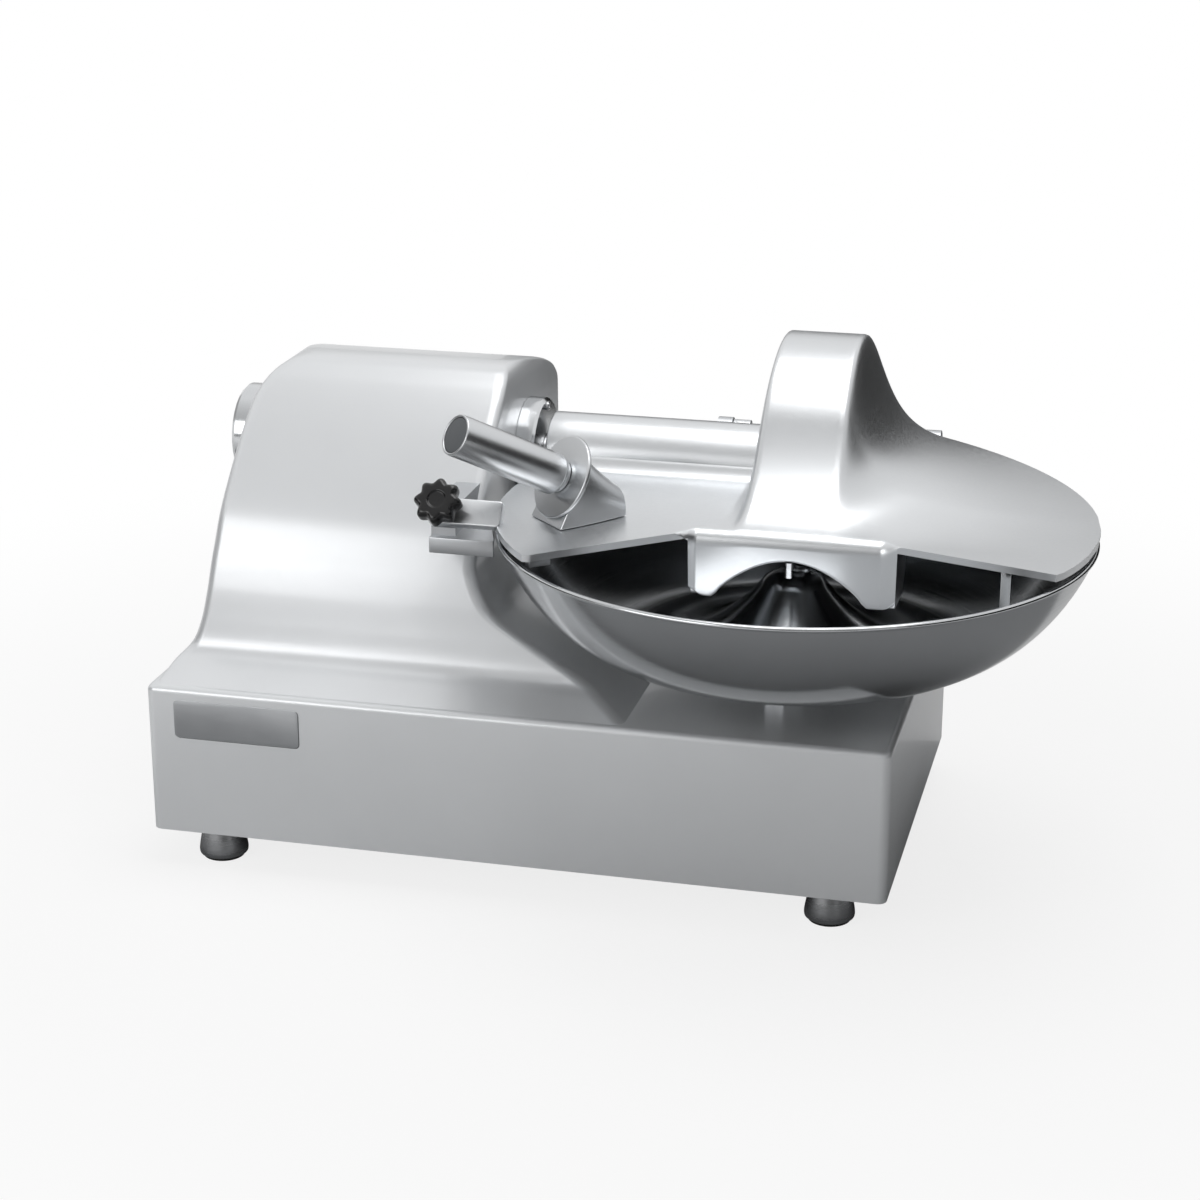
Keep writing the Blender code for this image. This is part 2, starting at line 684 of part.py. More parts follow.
def make_end_bells(shop):
    """Make the two turned end bells, each with a pocket for its bearing."""
    pocket = BEARING_RADIUS + GAP
    rim = MOTOR_RADIUS
    floor = BELL_WIDTH - RUNNING_GAP
    profile = [
        (SHAFT_RADIUS + RUNNING_GAP, BELL_WIDTH),
        (pocket + WALL, BELL_WIDTH),
        (rim, BELL_WIDTH / 2),
        (rim, 0.0),
        (pocket, 0.0),
        (pocket, floor - RUNNING_GAP),
        (SHAFT_RADIUS + RUNNING_GAP, floor - RUNNING_GAP),
    ]
    turned(shop, "right_end_bell", profile, "motor_iron", along_x(BELL_RIGHT - BELL_WIDTH), SMALL_STEPS, True)
    mirrored = Matrix.Rotation(math.pi, 4, "X")
    turned(shop, "left_end_bell", profile, "motor_iron", along_x(BELL_LEFT + BELL_WIDTH) @ mirrored, SMALL_STEPS, True)
    bearings = (("middle_bearing", BELL_RIGHT - BELL_WIDTH), ("left_bearing", BELL_LEFT + BELL_WIDTH))
    inner = SHAFT_RADIUS + GAP
    depth = floor - RUNNING_GAP - GAP
    for (name, x), (low, high) in zip(bearings, ((0.0, depth), (-depth, 0.0))):
        ring(shop, name, BEARING_RADIUS, inner, low, high, "bearing_steel", along_x(x))


def make_motor_stand(shop):
    """Make the saddle that carries the motor from the bottom plate."""
    floor = FOOT_HEIGHT + COVER_THICKNESS + 2 * GAP - SHAFT_HEIGHT
    saddle = MOTOR_RADIUS + FIN_DEPTH + GAP
    cradle = arc(saddle, math.radians(-140), math.radians(-40), 12)
    sides = [(-STAND_HALF_FOOT, floor), (STAND_HALF_FOOT, floor)] + list(reversed(cradle))
    plate = outline([sides, circle(STAND_WINDOW, SMALL_STEPS, (0.0, (floor - saddle) / 2))], STAND_LENGTH)
    middle = (MOTOR_LEFT + MOTOR_RIGHT) / 2
    turn = Matrix((((0, 0, 1)), ((1, 0, 0)), ((0, 1, 0)))).to_4x4()
    shop.add("motor_stand", plate, "motor_iron", at(middle, SHAFT_Y, SHAFT_HEIGHT) @ turn)


def make_bearing_housing(shop):
    """Make the flanged bearing housing on the tower's bowl side, and its bearing."""
    flange = GAP + HOUSING_FLANGE_WIDTH
    pocket = BEARING_RADIUS + GAP
    floor = -HOUSING_SPIGOT_WIDTH + BEARING_WIDTH + GAP
    edge = 2 * RUNNING_GAP
    profile = [
        (SHAFT_RADIUS + RUNNING_GAP, flange),
        (HOUSING_FLANGE_RADIUS - edge, flange),
        (HOUSING_FLANGE_RADIUS, flange - edge),
        (HOUSING_FLANGE_RADIUS, GAP),
        (HOUSING_SPIGOT_RADIUS, GAP),
        (HOUSING_SPIGOT_RADIUS, -HOUSING_SPIGOT_WIDTH),
        (pocket, -HOUSING_SPIGOT_WIDTH),
        (pocket, floor),
        (SHAFT_RADIUS + RUNNING_GAP, floor),
    ]
    turned(shop, "bearing_housing", profile, "polished_steel", along_x(TOWER_FACE), closed=True)
    inner = SHAFT_RADIUS + GAP
    low = -HOUSING_SPIGOT_WIDTH
    ring(shop, "boss_bearing", BEARING_RADIUS, inner, low, low + BEARING_WIDTH, "bearing_steel", along_x(TOWER_FACE))


def make_rear_cap(shop):
    """Make the polished cap over the fan, which seats on the left end bell."""
    inner = CAP_RADIUS - CAP_WALL
    far = CAP_DEPTH
    edge = 3 * RUNNING_GAP
    profile = [
        (0.0, CAP_WALL),
        (inner, CAP_WALL),
        (inner, far),
        (CAP_RADIUS, far),
        (CAP_RADIUS, edge),
        (CAP_RADIUS - edge, 0.0),
        (inner - edge, 0.0),
        (inner - 2 * edge, RUNNING_GAP),
        (0.0, RUNNING_GAP),
    ]
    turned(shop, "rear_cap", profile, "polished_steel", along_x(CAP_END))


def make_knife_shaft(shop):
    """Make the knife shaft and what turns with it inside the tower."""
    edge = RUNNING_GAP
    length = KNIFE_END - SHAFT_END
    profile = [
        (0.0, length),
        (SHAFT_RADIUS - edge, length),
        (SHAFT_RADIUS, length - edge),
        (SHAFT_RADIUS, edge),
        (SHAFT_RADIUS - edge, 0.0),
        (0.0, 0.0),
    ]
    turned(shop, "knife_shaft", profile, "polished_steel", along_x(SHAFT_END), SMALL_STEPS)
    seat = SHAFT_RADIUS + GAP
    middle = (MOTOR_LEFT + MOTOR_RIGHT) / 2
    half = MOTOR_LENGTH / 2 - 4 * RUNNING_GAP
    rotor = MOTOR_BORE - 2 * GAP - STATOR_WALL - ROTOR_GAP
    ring(shop, "motor_rotor", rotor, seat, -half, half, "turned_steel", along_x(middle))
    make_pulley(shop, "drive_pulley", DRIVE_PULLEY_RADIUS, seat, along_x(PULLEY_LEFT))
    make_fan(shop, seat)


def make_pulley(shop, name, radius, bore, frame):
    """Make a flat-grooved pulley whose local Z is its axis."""
    side = (PULLEY_WIDTH - BELT_WIDTH) / 2 - RUNNING_GAP
    flange = radius + PULLEY_GROOVE
    profile = [
        (bore, PULLEY_WIDTH),
        (flange, PULLEY_WIDTH),
        (flange, PULLEY_WIDTH - side),
        (radius, PULLEY_WIDTH - side),
        (radius, side),
        (flange, side),
        (flange, 0.0),
        (bore, 0.0),
    ]
    turned(shop, name, profile, "motor_iron", frame, SMALL_STEPS, True)


def make_fan(shop, bore):
    """Make the cooling fan: a hub with straight blades."""
    hub = bore + WALL
    points = []
    for i in range(FAN_BLADES):
        for share, radius in ((-0.42, hub), (-0.08, hub), (-0.05, FAN_RADIUS), (0.05, FAN_RADIUS), (0.08, hub)):
            turn = TURN * (i + share) / FAN_BLADES
            points.append((radius * math.cos(turn), radius * math.sin(turn)))
    mesh = outline([points, circle(bore)], FAN_WIDTH)
    shop.add("cooling_fan", mesh, "grey_plastic", along_x(FAN_LEFT + FAN_WIDTH / 2 + 2 * RUNNING_GAP))


# Knives

def knife_outline():
    """Return the outline of a crescent knife: a growing spiral edge and a hollow back."""
    root = KNIFE_HUB_RADIUS
    points = []
    for share in np.linspace(0.0, 1.0, 15):
        radius = root + (KNIFE_RADIUS - root) * math.sin(share * TURN / 4) ** 0.8
        turn = share * KNIFE_SWEEP
        points.append((radius * math.cos(turn), radius * math.sin(turn)))
    for share in np.linspace(0.93, 0.0, 13):
        radius = root + (KNIFE_RADIUS * 0.80 - root) * share ** 1.6
        turn = KNIFE_SWEEP * (0.52 + 0.46 * share)
        points.append((radius * math.cos(turn), radius * math.sin(turn)))
    start = KNIFE_SWEEP * 0.52
    return points + arc(root, start + TURN / 40, TURN - TURN / 40, 14)


def make_knives(shop):
    """Make the two crescent knives, their spacer hub and the clamping nut."""
    bore = SHAFT_RADIUS + GAP
    blade = [knife_outline(), circle(bore)]
    half = KNIFE_SPACING / 2
    seats = (("inner_knife", BOWL_X - half, 0.0), ("outer_knife", BOWL_X + half, math.pi))
    for name, x, turn in seats:
        frame = along_x(x) @ Matrix.Rotation(turn, 4, "Z")
        shop.add(name, outline(blade, KNIFE_THICKNESS), "knife_steel", frame)
    reach = half - KNIFE_THICKNESS / 2 - GAP
    hub = KNIFE_HUB_RADIUS - RUNNING_GAP
    ring(shop, "knife_hub", hub, bore, -reach, reach, "polished_steel", along_x(BOWL_X), chamfer=RUNNING_GAP)
    collar = half + KNIFE_THICKNESS / 2 + GAP
    ring(shop, "knife_collar", hub, bore, -collar - NUT_WIDTH, -collar, "polished_steel", along_x(BOWL_X),
         chamfer=RUNNING_GAP)
    nut = outline([circle(NUT_RADIUS, 6), circle(bore)], NUT_WIDTH)
    shop.add("knife_nut", nut, "polished_steel", along_x(BOWL_X + collar + NUT_WIDTH / 2))


# Worm gear and bowl spindle

WORM_Y = BOWL_Y + WHEEL_RADIUS + WORM_RADIUS + GAP
GEARBOX_LEFT = BOWL_X - WHEEL_RADIUS - GEARBOX_WALL - 4 * RUNNING_GAP
GEARBOX_RIGHT = BOWL_X + WHEEL_RADIUS + GEARBOX_WALL + 4 * RUNNING_GAP
GEARBOX_FRONT = BOWL_Y - WHEEL_RADIUS - GEARBOX_SIDE - 4 * RUNNING_GAP
GEARBOX_REAR = WORM_Y + WORM_BEARING_RADIUS + GEARBOX_SIDE
GEARBOX_TOP = BASE_TOP - WALL - GAP


def make_gearbox(shop):
    """Make the cast gearbox that hangs below the base top, with its bottom cover."""
    low = (GEARBOX_LEFT, GEARBOX_FRONT, GEARBOX_FLOOR)
    high = (GEARBOX_RIGHT, GEARBOX_REAR, GEARBOX_TOP)
    box = shop.add("gearbox_housing", span(low, high), "cast_aluminium")
    inner_low = (GEARBOX_LEFT + GEARBOX_WALL, GEARBOX_FRONT + GEARBOX_SIDE, GEARBOX_FLOOR - OVERRUN)
    roof = GEARBOX_TOP - SPINDLE_BEARING_WIDTH - GEARBOX_SIDE
    inner_high = (GEARBOX_RIGHT - GEARBOX_WALL, GEARBOX_REAR - GEARBOX_SIDE, roof)
    shop.cut(box, span(inner_low, inner_high))
    length = GEARBOX_RIGHT - GEARBOX_LEFT
    shop.cut(box, rod(WORM_BEARING_RADIUS + GAP, -OVERRUN, length + OVERRUN, MEDIUM_STEPS),
             along_x(GEARBOX_LEFT, WORM_Y, WORM_HEIGHT))
    shop.cut(box, rod(SPINDLE_BEARING_RADIUS + GAP, roof - OVERRUN, GEARBOX_TOP + OVERRUN, MEDIUM_STEPS),
             at(BOWL_X, BOWL_Y, 0.0))
    cover_low = (GEARBOX_LEFT, GEARBOX_FRONT, GEARBOX_FLOOR - GAP - GEARBOX_SIDE)
    cover_high = (GEARBOX_RIGHT, GEARBOX_REAR, GEARBOX_FLOOR - GAP)
    cover = shop.add("gearbox_cover", span(cover_low, cover_high), "cast_aluminium")
    shop.join(cover, rod(SPINDLE_BEARING_RADIUS + WALL, 0.0, SPINDLE_BEARING_WIDTH + WALL),
              at(BOWL_X, BOWL_Y, GEARBOX_FLOOR - GAP - RUNNING_GAP))
    shop.cut(cover, rod(SPINDLE_BEARING_RADIUS + GAP, 0.0, SPINDLE_BEARING_WIDTH + OVERRUN + WALL, MEDIUM_STEPS),
             at(BOWL_X, BOWL_Y, GEARBOX_FLOOR))


def make_worm(shop):
    """Make the worm shaft with its worm, driven pulley and two bearings."""
    middle = (PULLEY_LEFT + PULLEY_RIGHT) / 2
    start = middle - PULLEY_WIDTH / 2 - 4 * RUNNING_GAP
    end = GEARBOX_RIGHT - RUNNING_GAP
    frame = along_x(start, WORM_Y, WORM_HEIGHT)
    length = end - start
    profile = [(0.0, length), (WORM_SHAFT_RADIUS, length), (WORM_SHAFT_RADIUS, 0.0), (0.0, 0.0)]
    turned(shop, "worm_shaft", profile, "turned_steel", frame, SMALL_STEPS)
    seat = WORM_SHAFT_RADIUS + GAP
    half = WORM_LENGTH / 2
    turned(shop, "worm_screw", worm_profile(seat), "turned_steel",
           along_x(BOWL_X - half, WORM_Y, WORM_HEIGHT), SMALL_STEPS, closed=True)
    pulley_frame = along_x(PULLEY_LEFT, WORM_Y, WORM_HEIGHT)
    make_pulley(shop, "driven_pulley", DRIVEN_PULLEY_RADIUS, seat, pulley_frame)
    for name, x in (("left_worm_bearing", GEARBOX_LEFT), ("right_worm_bearing", GEARBOX_RIGHT - WORM_BEARING_WIDTH)):
        place = along_x(x, WORM_Y, WORM_HEIGHT)
        ring(shop, name, WORM_BEARING_RADIUS, seat, 0.0, WORM_BEARING_WIDTH, "bearing_steel", place)


def worm_profile(bore):
    """Return the profile of the worm, a row of rounded ridges between plain ends."""
    ridges = 4
    pitch = WORM_LENGTH / ridges
    points = [(bore, WORM_LENGTH)]
    for i in range(ridges):
        top = WORM_LENGTH - i * pitch
        points += [(WORM_RADIUS - TOOTH_DEPTH, top), (WORM_RADIUS, top - 0.35 * pitch)]
        points += [(WORM_RADIUS, top - 0.65 * pitch)]
    points += [(WORM_RADIUS - TOOTH_DEPTH, 0.0), (bore, 0.0)]
    return points


def make_spindle(shop):
    """Make the bowl spindle, its worm wheel, its bearings and the pedestal above the base."""
    axis = at(BOWL_X, BOWL_Y, 0.0)
    foot = GEARBOX_FLOOR + RUNNING_GAP
    profile = [(radius, height - GAP) for radius, height in bowl_curves()[1][:3]]
    head = profile[-1][0]
    shoulder = profile[0][1] - SPINDLE_HEAD_HEIGHT
    profile += [
        (head, shoulder),
        (SPINDLE_RADIUS, shoulder - 2 * RUNNING_GAP),
        (SPINDLE_RADIUS, foot),
        (0.0, foot),
    ]
    turned(shop, "bowl_spindle", profile, "polished_steel", axis, SMALL_STEPS)
    seat = SPINDLE_RADIUS + GAP
    teeth = []
    for i in range(WHEEL_TEETH):
        for share, radius in ((-0.30, WHEEL_RADIUS - TOOTH_DEPTH), (-0.15, WHEEL_RADIUS),
                              (0.15, WHEEL_RADIUS), (0.30, WHEEL_RADIUS - TOOTH_DEPTH)):
            turn = TURN * (i + share) / WHEEL_TEETH
            teeth.append((radius * math.cos(turn), radius * math.sin(turn)))
    wheel = outline([teeth, circle(seat)], WHEEL_WIDTH)
    shop.add("worm_wheel", wheel, "bronze", at(BOWL_X, BOWL_Y, WORM_HEIGHT))
    low = GEARBOX_FLOOR + RUNNING_GAP
    width = SPINDLE_BEARING_WIDTH
    high = GEARBOX_TOP - width - RUNNING_GAP
    for name, z in (("lower_spindle_bearing", low), ("upper_spindle_bearing", high)):
        ring(shop, name, SPINDLE_BEARING_RADIUS, seat, z, z + width, "bearing_steel", axis)
    bore = SPINDLE_RADIUS + RUNNING_GAP
    bottom = BASE_TOP + GAP
    edge = 4 * RUNNING_GAP
    pedestal = [
        (bore, bottom + PEDESTAL_HEIGHT),
        (PEDESTAL_RADIUS - edge, bottom + PEDESTAL_HEIGHT),
        (PEDESTAL_RADIUS, bottom + PEDESTAL_HEIGHT - edge),
        (PEDESTAL_RADIUS, bottom),
        (bore, bottom),
    ]
    turned(shop, "spindle_pedestal", pedestal, "polished_steel", axis, closed=True)


def make_belt(shop):
    """Make the flat belt round the two pulleys."""
    gap = GAP
    drop = WORM_HEIGHT - SHAFT_HEIGHT
    shift = WORM_Y - SHAFT_Y
    span_length = math.hypot(drop, shift)
    lean = math.atan2(drop, shift)
    loops = []
    for grow in (gap + BELT_THICKNESS, gap):
        small = DRIVE_PULLEY_RADIUS + grow
        large = DRIVEN_PULLEY_RADIUS + grow
        half = math.acos((small - large) / span_length)
        far = (shift, drop)
        loop = arc(large, lean - half, lean + half, 18, far)
        loop += arc(small, lean + half, lean - half + TURN, 14)
        loops.append(loop)
    mesh = outline(loops, BELT_WIDTH)
    turn = Matrix(((0, 0, 1), (1, 0, 0), (0, 1, 0))).to_4x4()
    middle = (PULLEY_LEFT + PULLEY_RIGHT) / 2
    shop.add("drive_belt", mesh, "belt_rubber", at(middle, SHAFT_Y, SHAFT_HEIGHT) @ turn)


# Bowl

TROUGH_STEEP = TROUGH_DEPTH / (1 - math.sqrt(1 - (TROUGH_HALF_WIDTH / TROUGH_ROUND) ** 2))


def bowl_height(radius):
    """Return the inner height of the bowl at a radius: an oval trough round a soft dome."""
    if radius >= DOME_CAP_RADIUS:
        reach = abs(radius - SHAFT_OFFSET) / TROUGH_ROUND
        return TROUGH_FLOOR + TROUGH_STEEP * (1 - math.sqrt(1 - reach ** 2))
    edge = bowl_height(DOME_CAP_RADIUS)
    top = TROUGH_FLOOR + DOME_HEIGHT
    return top - (top - edge) * (radius / DOME_CAP_RADIUS) ** 2.6


def bowl_curves():
    """Return the inner and outer curves of the bowl, from its axis to its rim."""
    radii = [DOME_CAP_RADIUS * share for share in DOME_CAP_SHARES]
    radii += list(np.linspace(DOME_CAP_RADIUS, SHAFT_OFFSET, 6)[1:])
    radii += [SHAFT_OFFSET + TROUGH_HALF_WIDTH * math.sin(TURN / 4 * share) for share in np.linspace(0, 1, 7)[1:]]
    inner = [(radius, bowl_height(radius)) for radius in radii]
    outer = []
    for (r0, z0), (r1, z1), (r2, z2) in zip(inner[:1] + inner[:-1], inner, inner[1:] + inner[-1:]):
        slope = Vector((r2 - r0, z2 - z0)).normalized()
        outer.append((max(r1 + slope.y * BOWL_WALL, 0.0), z1 - slope.x * BOWL_WALL))
    outer[0] = (0.0, inner[0][1] - BOWL_WALL)
    return inner, outer


def bowl_profile():
    """Return the closed profile of the bowl: inside outwards, round the lip, outside back."""
    inner, outer = bowl_curves()
    rim = SHAFT_OFFSET + TROUGH_HALF_WIDTH
    lip_centre = (rim + BOWL_WALL / 2, RIM_HEIGHT - RIM_LIP)
    lip = arc(RIM_LIP, math.radians(140), math.radians(-60), 3, lip_centre)
    return inner[:-1] + lip + list(reversed(outer[:-1]))


def make_bowl(shop):
    """Make the turned bowl with its ring trough and central dome."""
    turned(shop, "bowl", bowl_profile(), "polished_steel", at(BOWL_X, BOWL_Y, 0.0), BOWL_STEPS)


# Lid, in places measured from the bowl's axis

PLATE_STATION_SHARES = (0.998, 0.970, 0.900, 0.830, 0.761, 0.716, TUNNEL_PLATE_SHARE, 0.500)
FILLET_STATION_SHARES = (1.0, 0.6, 0.25)
DRAFT_STATION_SHARES = (1.0, 0.7, 0.35, 0.0)
INSIDE_STATION_SHARES = (0.5, 1.1)
TOP_STATION_SHARES = (-0.2, 0.8)
FAIRING_STATION_SHARES = (0.12, 0.38, 0.75, 1.2, 1.8)
NEAR_STATION_SHARE = 0.66
FILLET_KNOT_SHARES = (1.0, 0.5, 0.2, 0.0)
TUNNEL_KNOT_SHARES = (-0.85, -0.5, 0.0, 0.5, 0.85)
FRONT_KNOT_SHARES = (0.0, 0.18, 0.36, 0.52, 0.67, 0.84)
REAR_KNOT_SHARES = (0.45, 0.76, 0.92, 1.0)
WALL_PROBE_SHARES = (0.55, 0.85, 1.0)
WALL_PROBES = 8


def front_edge(x):
    """Return the front edge of the lid plate: rim arcs, two straight runs and the hump's front."""
    if x <= LEFT_CORNER[0] or x >= RIGHT_CORNER[0]:
        return -math.sqrt(max(LID_RADIUS ** 2 - x ** 2, 0.0))
    if x < LEFT_JOIN[0]:
        share = (x - LEFT_CORNER[0]) / (LEFT_JOIN[0] - LEFT_CORNER[0])
        return LEFT_CORNER[1] + share * (LEFT_JOIN[1] - LEFT_CORNER[1])
    if x > RIGHT_JOIN[0]:
        share = (x - RIGHT_JOIN[0]) / (RIGHT_CORNER[0] - RIGHT_JOIN[0])
        return RIGHT_JOIN[1] + share * (RIGHT_CORNER[1] - RIGHT_JOIN[1])
    return -HUMP_FRONT


def rear_edge(x):
    """Return the rear edge of the lid plate."""
    return math.sqrt(max(LID_RADIUS ** 2 - x ** 2, 0.0))


def drum_rise(y):
    """Return the height of the knife drum above the plate."""
    reach = y - SHAFT_OFFSET
    if abs(reach) >= HUMP_RADIUS:
        return 0.0
    return AXIS_RISE + math.sqrt(HUMP_RADIUS ** 2 - reach ** 2)


def hump_rise(y):
    """Return the height of the hump: the drum, with a hollow sweep down to its front edge."""
    if y >= HUMP_JOIN:
        return drum_rise(y)
    share = max((y + HUMP_FRONT) / (HUMP_JOIN + HUMP_FRONT), 0.0)
    return drum_rise(HUMP_JOIN) * share ** HUMP_FRONT_POWER


def side_share(x):
    """Return how much of the hump's height stands at a place along the shaft."""
    reach = abs(x) - HUMP_HALF_WIDTH
    if reach <= 0:
        return 1.0
    if x > 0:
        end = max(1 - (reach / (LID_RADIUS - HUMP_HALF_WIDTH)) ** 2, 0.0)
        return end / (1 + (reach / FAIRING_SCALE) ** FAIRING_POWER)
    if reach <= HUMP_DRAFT:
        share = reach / HUMP_DRAFT
        return 1 - 0.08 * share - 0.80 * share ** 2
    share = min((reach - HUMP_DRAFT) / HUMP_FILLET, 1.0)
    return 0.12 * (1 - share) ** 2


def tunnel_rise(x, y):
    """Return the height of the round tunnel over the shaft, left of the hump."""
    if x > 0 or x < -TUNNEL_PLATE_END:
        return 0.0
    reach = abs(y - SHAFT_OFFSET)
    side = TUNNEL_RADIUS - RUNNING_GAP
    edge = AXIS_RISE + math.sqrt(TUNNEL_RADIUS ** 2 - side ** 2)
    if reach <= side:
        return AXIS_RISE + math.sqrt(TUNNEL_RADIUS ** 2 - reach ** 2)
    return edge * max(1 - (reach - side) / TUNNEL_FILLET, 0.0) ** 2


def lid_rise(x, y):
    """Return the height of the lid's outer skin above its plate."""
    return max(hump_rise(y) * side_share(x), tunnel_rise(x, y))


def lid_stations():
    """Return the places along X where the lid's sections stand, closest at the hump's walls."""
    left = [-LID_RADIUS * share for share in PLATE_STATION_SHARES]
    right = [LID_RADIUS * share for share in reversed(PLATE_STATION_SHARES)]
    fillet = [HUMP_DRAFT + HUMP_FILLET * share for share in FILLET_STATION_SHARES]
    draft = [HUMP_DRAFT * share for share in DRAFT_STATION_SHARES]
    inside = [-LID_WALL * share for share in INSIDE_STATION_SHARES]
    walls = [-HUMP_HALF_WIDTH - reach for reach in fillet + draft + inside]
    top = [HUMP_HALF_WIDTH * share for share in TOP_STATION_SHARES]
    fairing = [HUMP_HALF_WIDTH + FAIRING_SCALE * share for share in FAIRING_STATION_SHARES]
    left.append(left[-1] + (walls[0] - left[-1]) * NEAR_STATION_SHARE)
    right.insert(0, right[0] + (fairing[-1] - right[0]) * NEAR_STATION_SHARE)
    return left + walls + top + fairing + right


def lid_knots(x):
    """Return the places along Y of one section's points, closest where the skin is steep."""
    start, end = front_edge(x), rear_edge(x)
    side = TUNNEL_RADIUS - RUNNING_GAP
    fillets = [TUNNEL_FILLET * share for share in FILLET_KNOT_SHARES]
    near = [SHAFT_OFFSET - side - reach for reach in fillets]
    across = [SHAFT_OFFSET + side * share for share in TUNNEL_KNOT_SHARES]
    far = [SHAFT_OFFSET + side + reach for reach in reversed(fillets)]
    fixed = near + across + far
    if end > fixed[-1] + RUNNING_GAP:
        front = [start + (near[0] - start) * share for share in FRONT_KNOT_SHARES]
        rear = [far[-1] + (end - far[-1]) * share for share in REAR_KNOT_SHARES]
        return front + fixed + rear
    return list(np.linspace(start, end, len(FRONT_KNOT_SHARES) + len(fixed) + len(REAR_KNOT_SHARES)))


def inner_rise(x, y):
    """Return the height of the lid's inner skin: the outer one pressed in by a ball of the wall."""
    lowest = lid_rise(x, y) - LID_WALL
    for reach_share in WALL_PROBE_SHARES:
        reach = LID_WALL * reach_share
        drop = LID_WALL * math.sqrt(1 - reach_share ** 2)
        for turn in np.linspace(0.0, TURN, WALL_PROBES, endpoint=False):
            near = lid_rise(x + reach * math.cos(turn), y + reach * math.sin(turn))
            lowest = min(lowest, near - drop)
    return max(lowest, -LID_WALL)


def lid_shell():
    """Return the lid's closed shell: an outer and an inner grid of sections, joined round the edge."""
    stations = lid_stations()
    outer, inner = [], []
    for x in stations:
        knots = lid_knots(x)
        outer += [(BOWL_X + x, BOWL_Y + y, LID_TOP + lid_rise(x, y)) for y in knots]
        inner += [(BOWL_X + x, BOWL_Y + y, LID_TOP + inner_rise(x, y)) for y in knots]
    rows, count = len(stations), len(knots)
    under = rows * count
    faces = []
    for i in range(rows - 1):
        for j in range(count - 1):
            here = i * count + j
            for far in ((here + count, here + count + 1), (here + count + 1, here + 1)):
                faces.append((here, *far))
                faces.append((under + here, under + far[1], under + far[0]))
    front = [i * count for i in range(rows)]
    right = [(rows - 1) * count + j for j in range(count)]
    rear = [i * count + count - 1 for i in reversed(range(rows))]
    left = list(reversed(range(count)))
    for side in (front, right, rear, left):
        for a, b in zip(side, side[1:]):
            faces.append((a, under + a, under + b, b))
    mesh = bpy.data.meshes.new("lid_shell")
    mesh.from_pydata(outer + inner, [], faces)
    return mesh


def arch_section(radius, drop):
    """Return an arch outline: a half circle on two straight legs."""
    return [(radius, -drop)] + arc(radius, 0.0, math.pi, 14) + [(-radius, -drop)]


def sweep_along_x(points, start, end, y, z):
    """Return a mesh and frame for an outline of (Y, Z) points carried along X."""
    plate = outline([points], end - start)
    turn = Matrix(((0, 0, 1), (1, 0, 0), (0, 1, 0))).to_4x4()
    return plate, at((start + end) / 2, y, z) @ turn


def skirt_outline():
    """Return the front skirt's outline in (X, Z): two lobes and the arch over the bowl's dome."""
    top = LID_TOP - LID_WALL / 2
    low = LID_TOP - LID_WALL - SKIRT_DEPTH
    foot = SKIRT_DEPTH * 0.16
    spring = low + SKIRT_DEPTH - ARCH_FOOT
    points = [(-SKIRT_LEFT, top), (-SKIRT_LEFT, low + foot), (-SKIRT_LEFT + foot, low)]
    points += [(-ARCH_LEFT - foot / 2, low)]
    middle = (ARCH_RIGHT - ARCH_LEFT) / 2
    half = (ARCH_RIGHT + ARCH_LEFT) / 2
    for share in np.linspace(-1, 1, 13):
        rise = ARCH_RISE * math.cos(share * TURN / 4) ** 0.8 if abs(share) < 1 else 0.0
        points.append((middle + share * half, spring + rise))
    points += [(ARCH_RIGHT + foot / 2, low), (SKIRT_RIGHT - foot, low), (SKIRT_RIGHT, low + foot)]
    points.append((SKIRT_RIGHT, top))
    return points


def add_skirts(shop, lid):
    """Join the arched front skirt and its two return walls to the lid."""
    y = BOWL_Y - HUMP_FRONT + SKIRT_WALL / 2
    stand = Matrix(((1, 0, 0), (0, 0, -1), (0, 1, 0))).to_4x4()
    shop.join(lid, outline([skirt_outline()], SKIRT_WALL), at(BOWL_X, y, 0.0) @ stand)
    top = LID_TOP - LID_WALL / 2
    low = LID_TOP - LID_WALL - SKIRT_DEPTH
    round_off = SKIRT_DEPTH * 0.3
    profile = [(0.0, top), (0.0, low + RUNNING_GAP), (SKIRT_RETURN - round_off, low + RUNNING_GAP)]
    profile += [(SKIRT_RETURN, low + round_off), (SKIRT_RETURN, top)]
    for left in (-SKIRT_LEFT + GAP, SKIRT_RIGHT - SKIRT_WALL - GAP):
        start = BOWL_X + left
        mesh, frame = sweep_along_x(profile, start, start + SKIRT_WALL, BOWL_Y - HUMP_FRONT + RUNNING_GAP, 0.0)
        shop.join(lid, mesh, frame)


HINGE_Y = REAR_END - HINGE_INSET
HINGE_Z = LID_TOP


def hinge_places():
    """Return the middle of each hinge post along X, with the side its knuckle stands on."""
    return ((BOWL_X + HINGE_LEFT, 1), (BOWL_X + HINGE_RIGHT, -1))


def knuckle_middle(post, side):
    """Return the middle of the knuckle beside a post."""
    return post + side * (POST_WIDTH / 2 + GAP + KNUCKLE_WIDTH / 2)


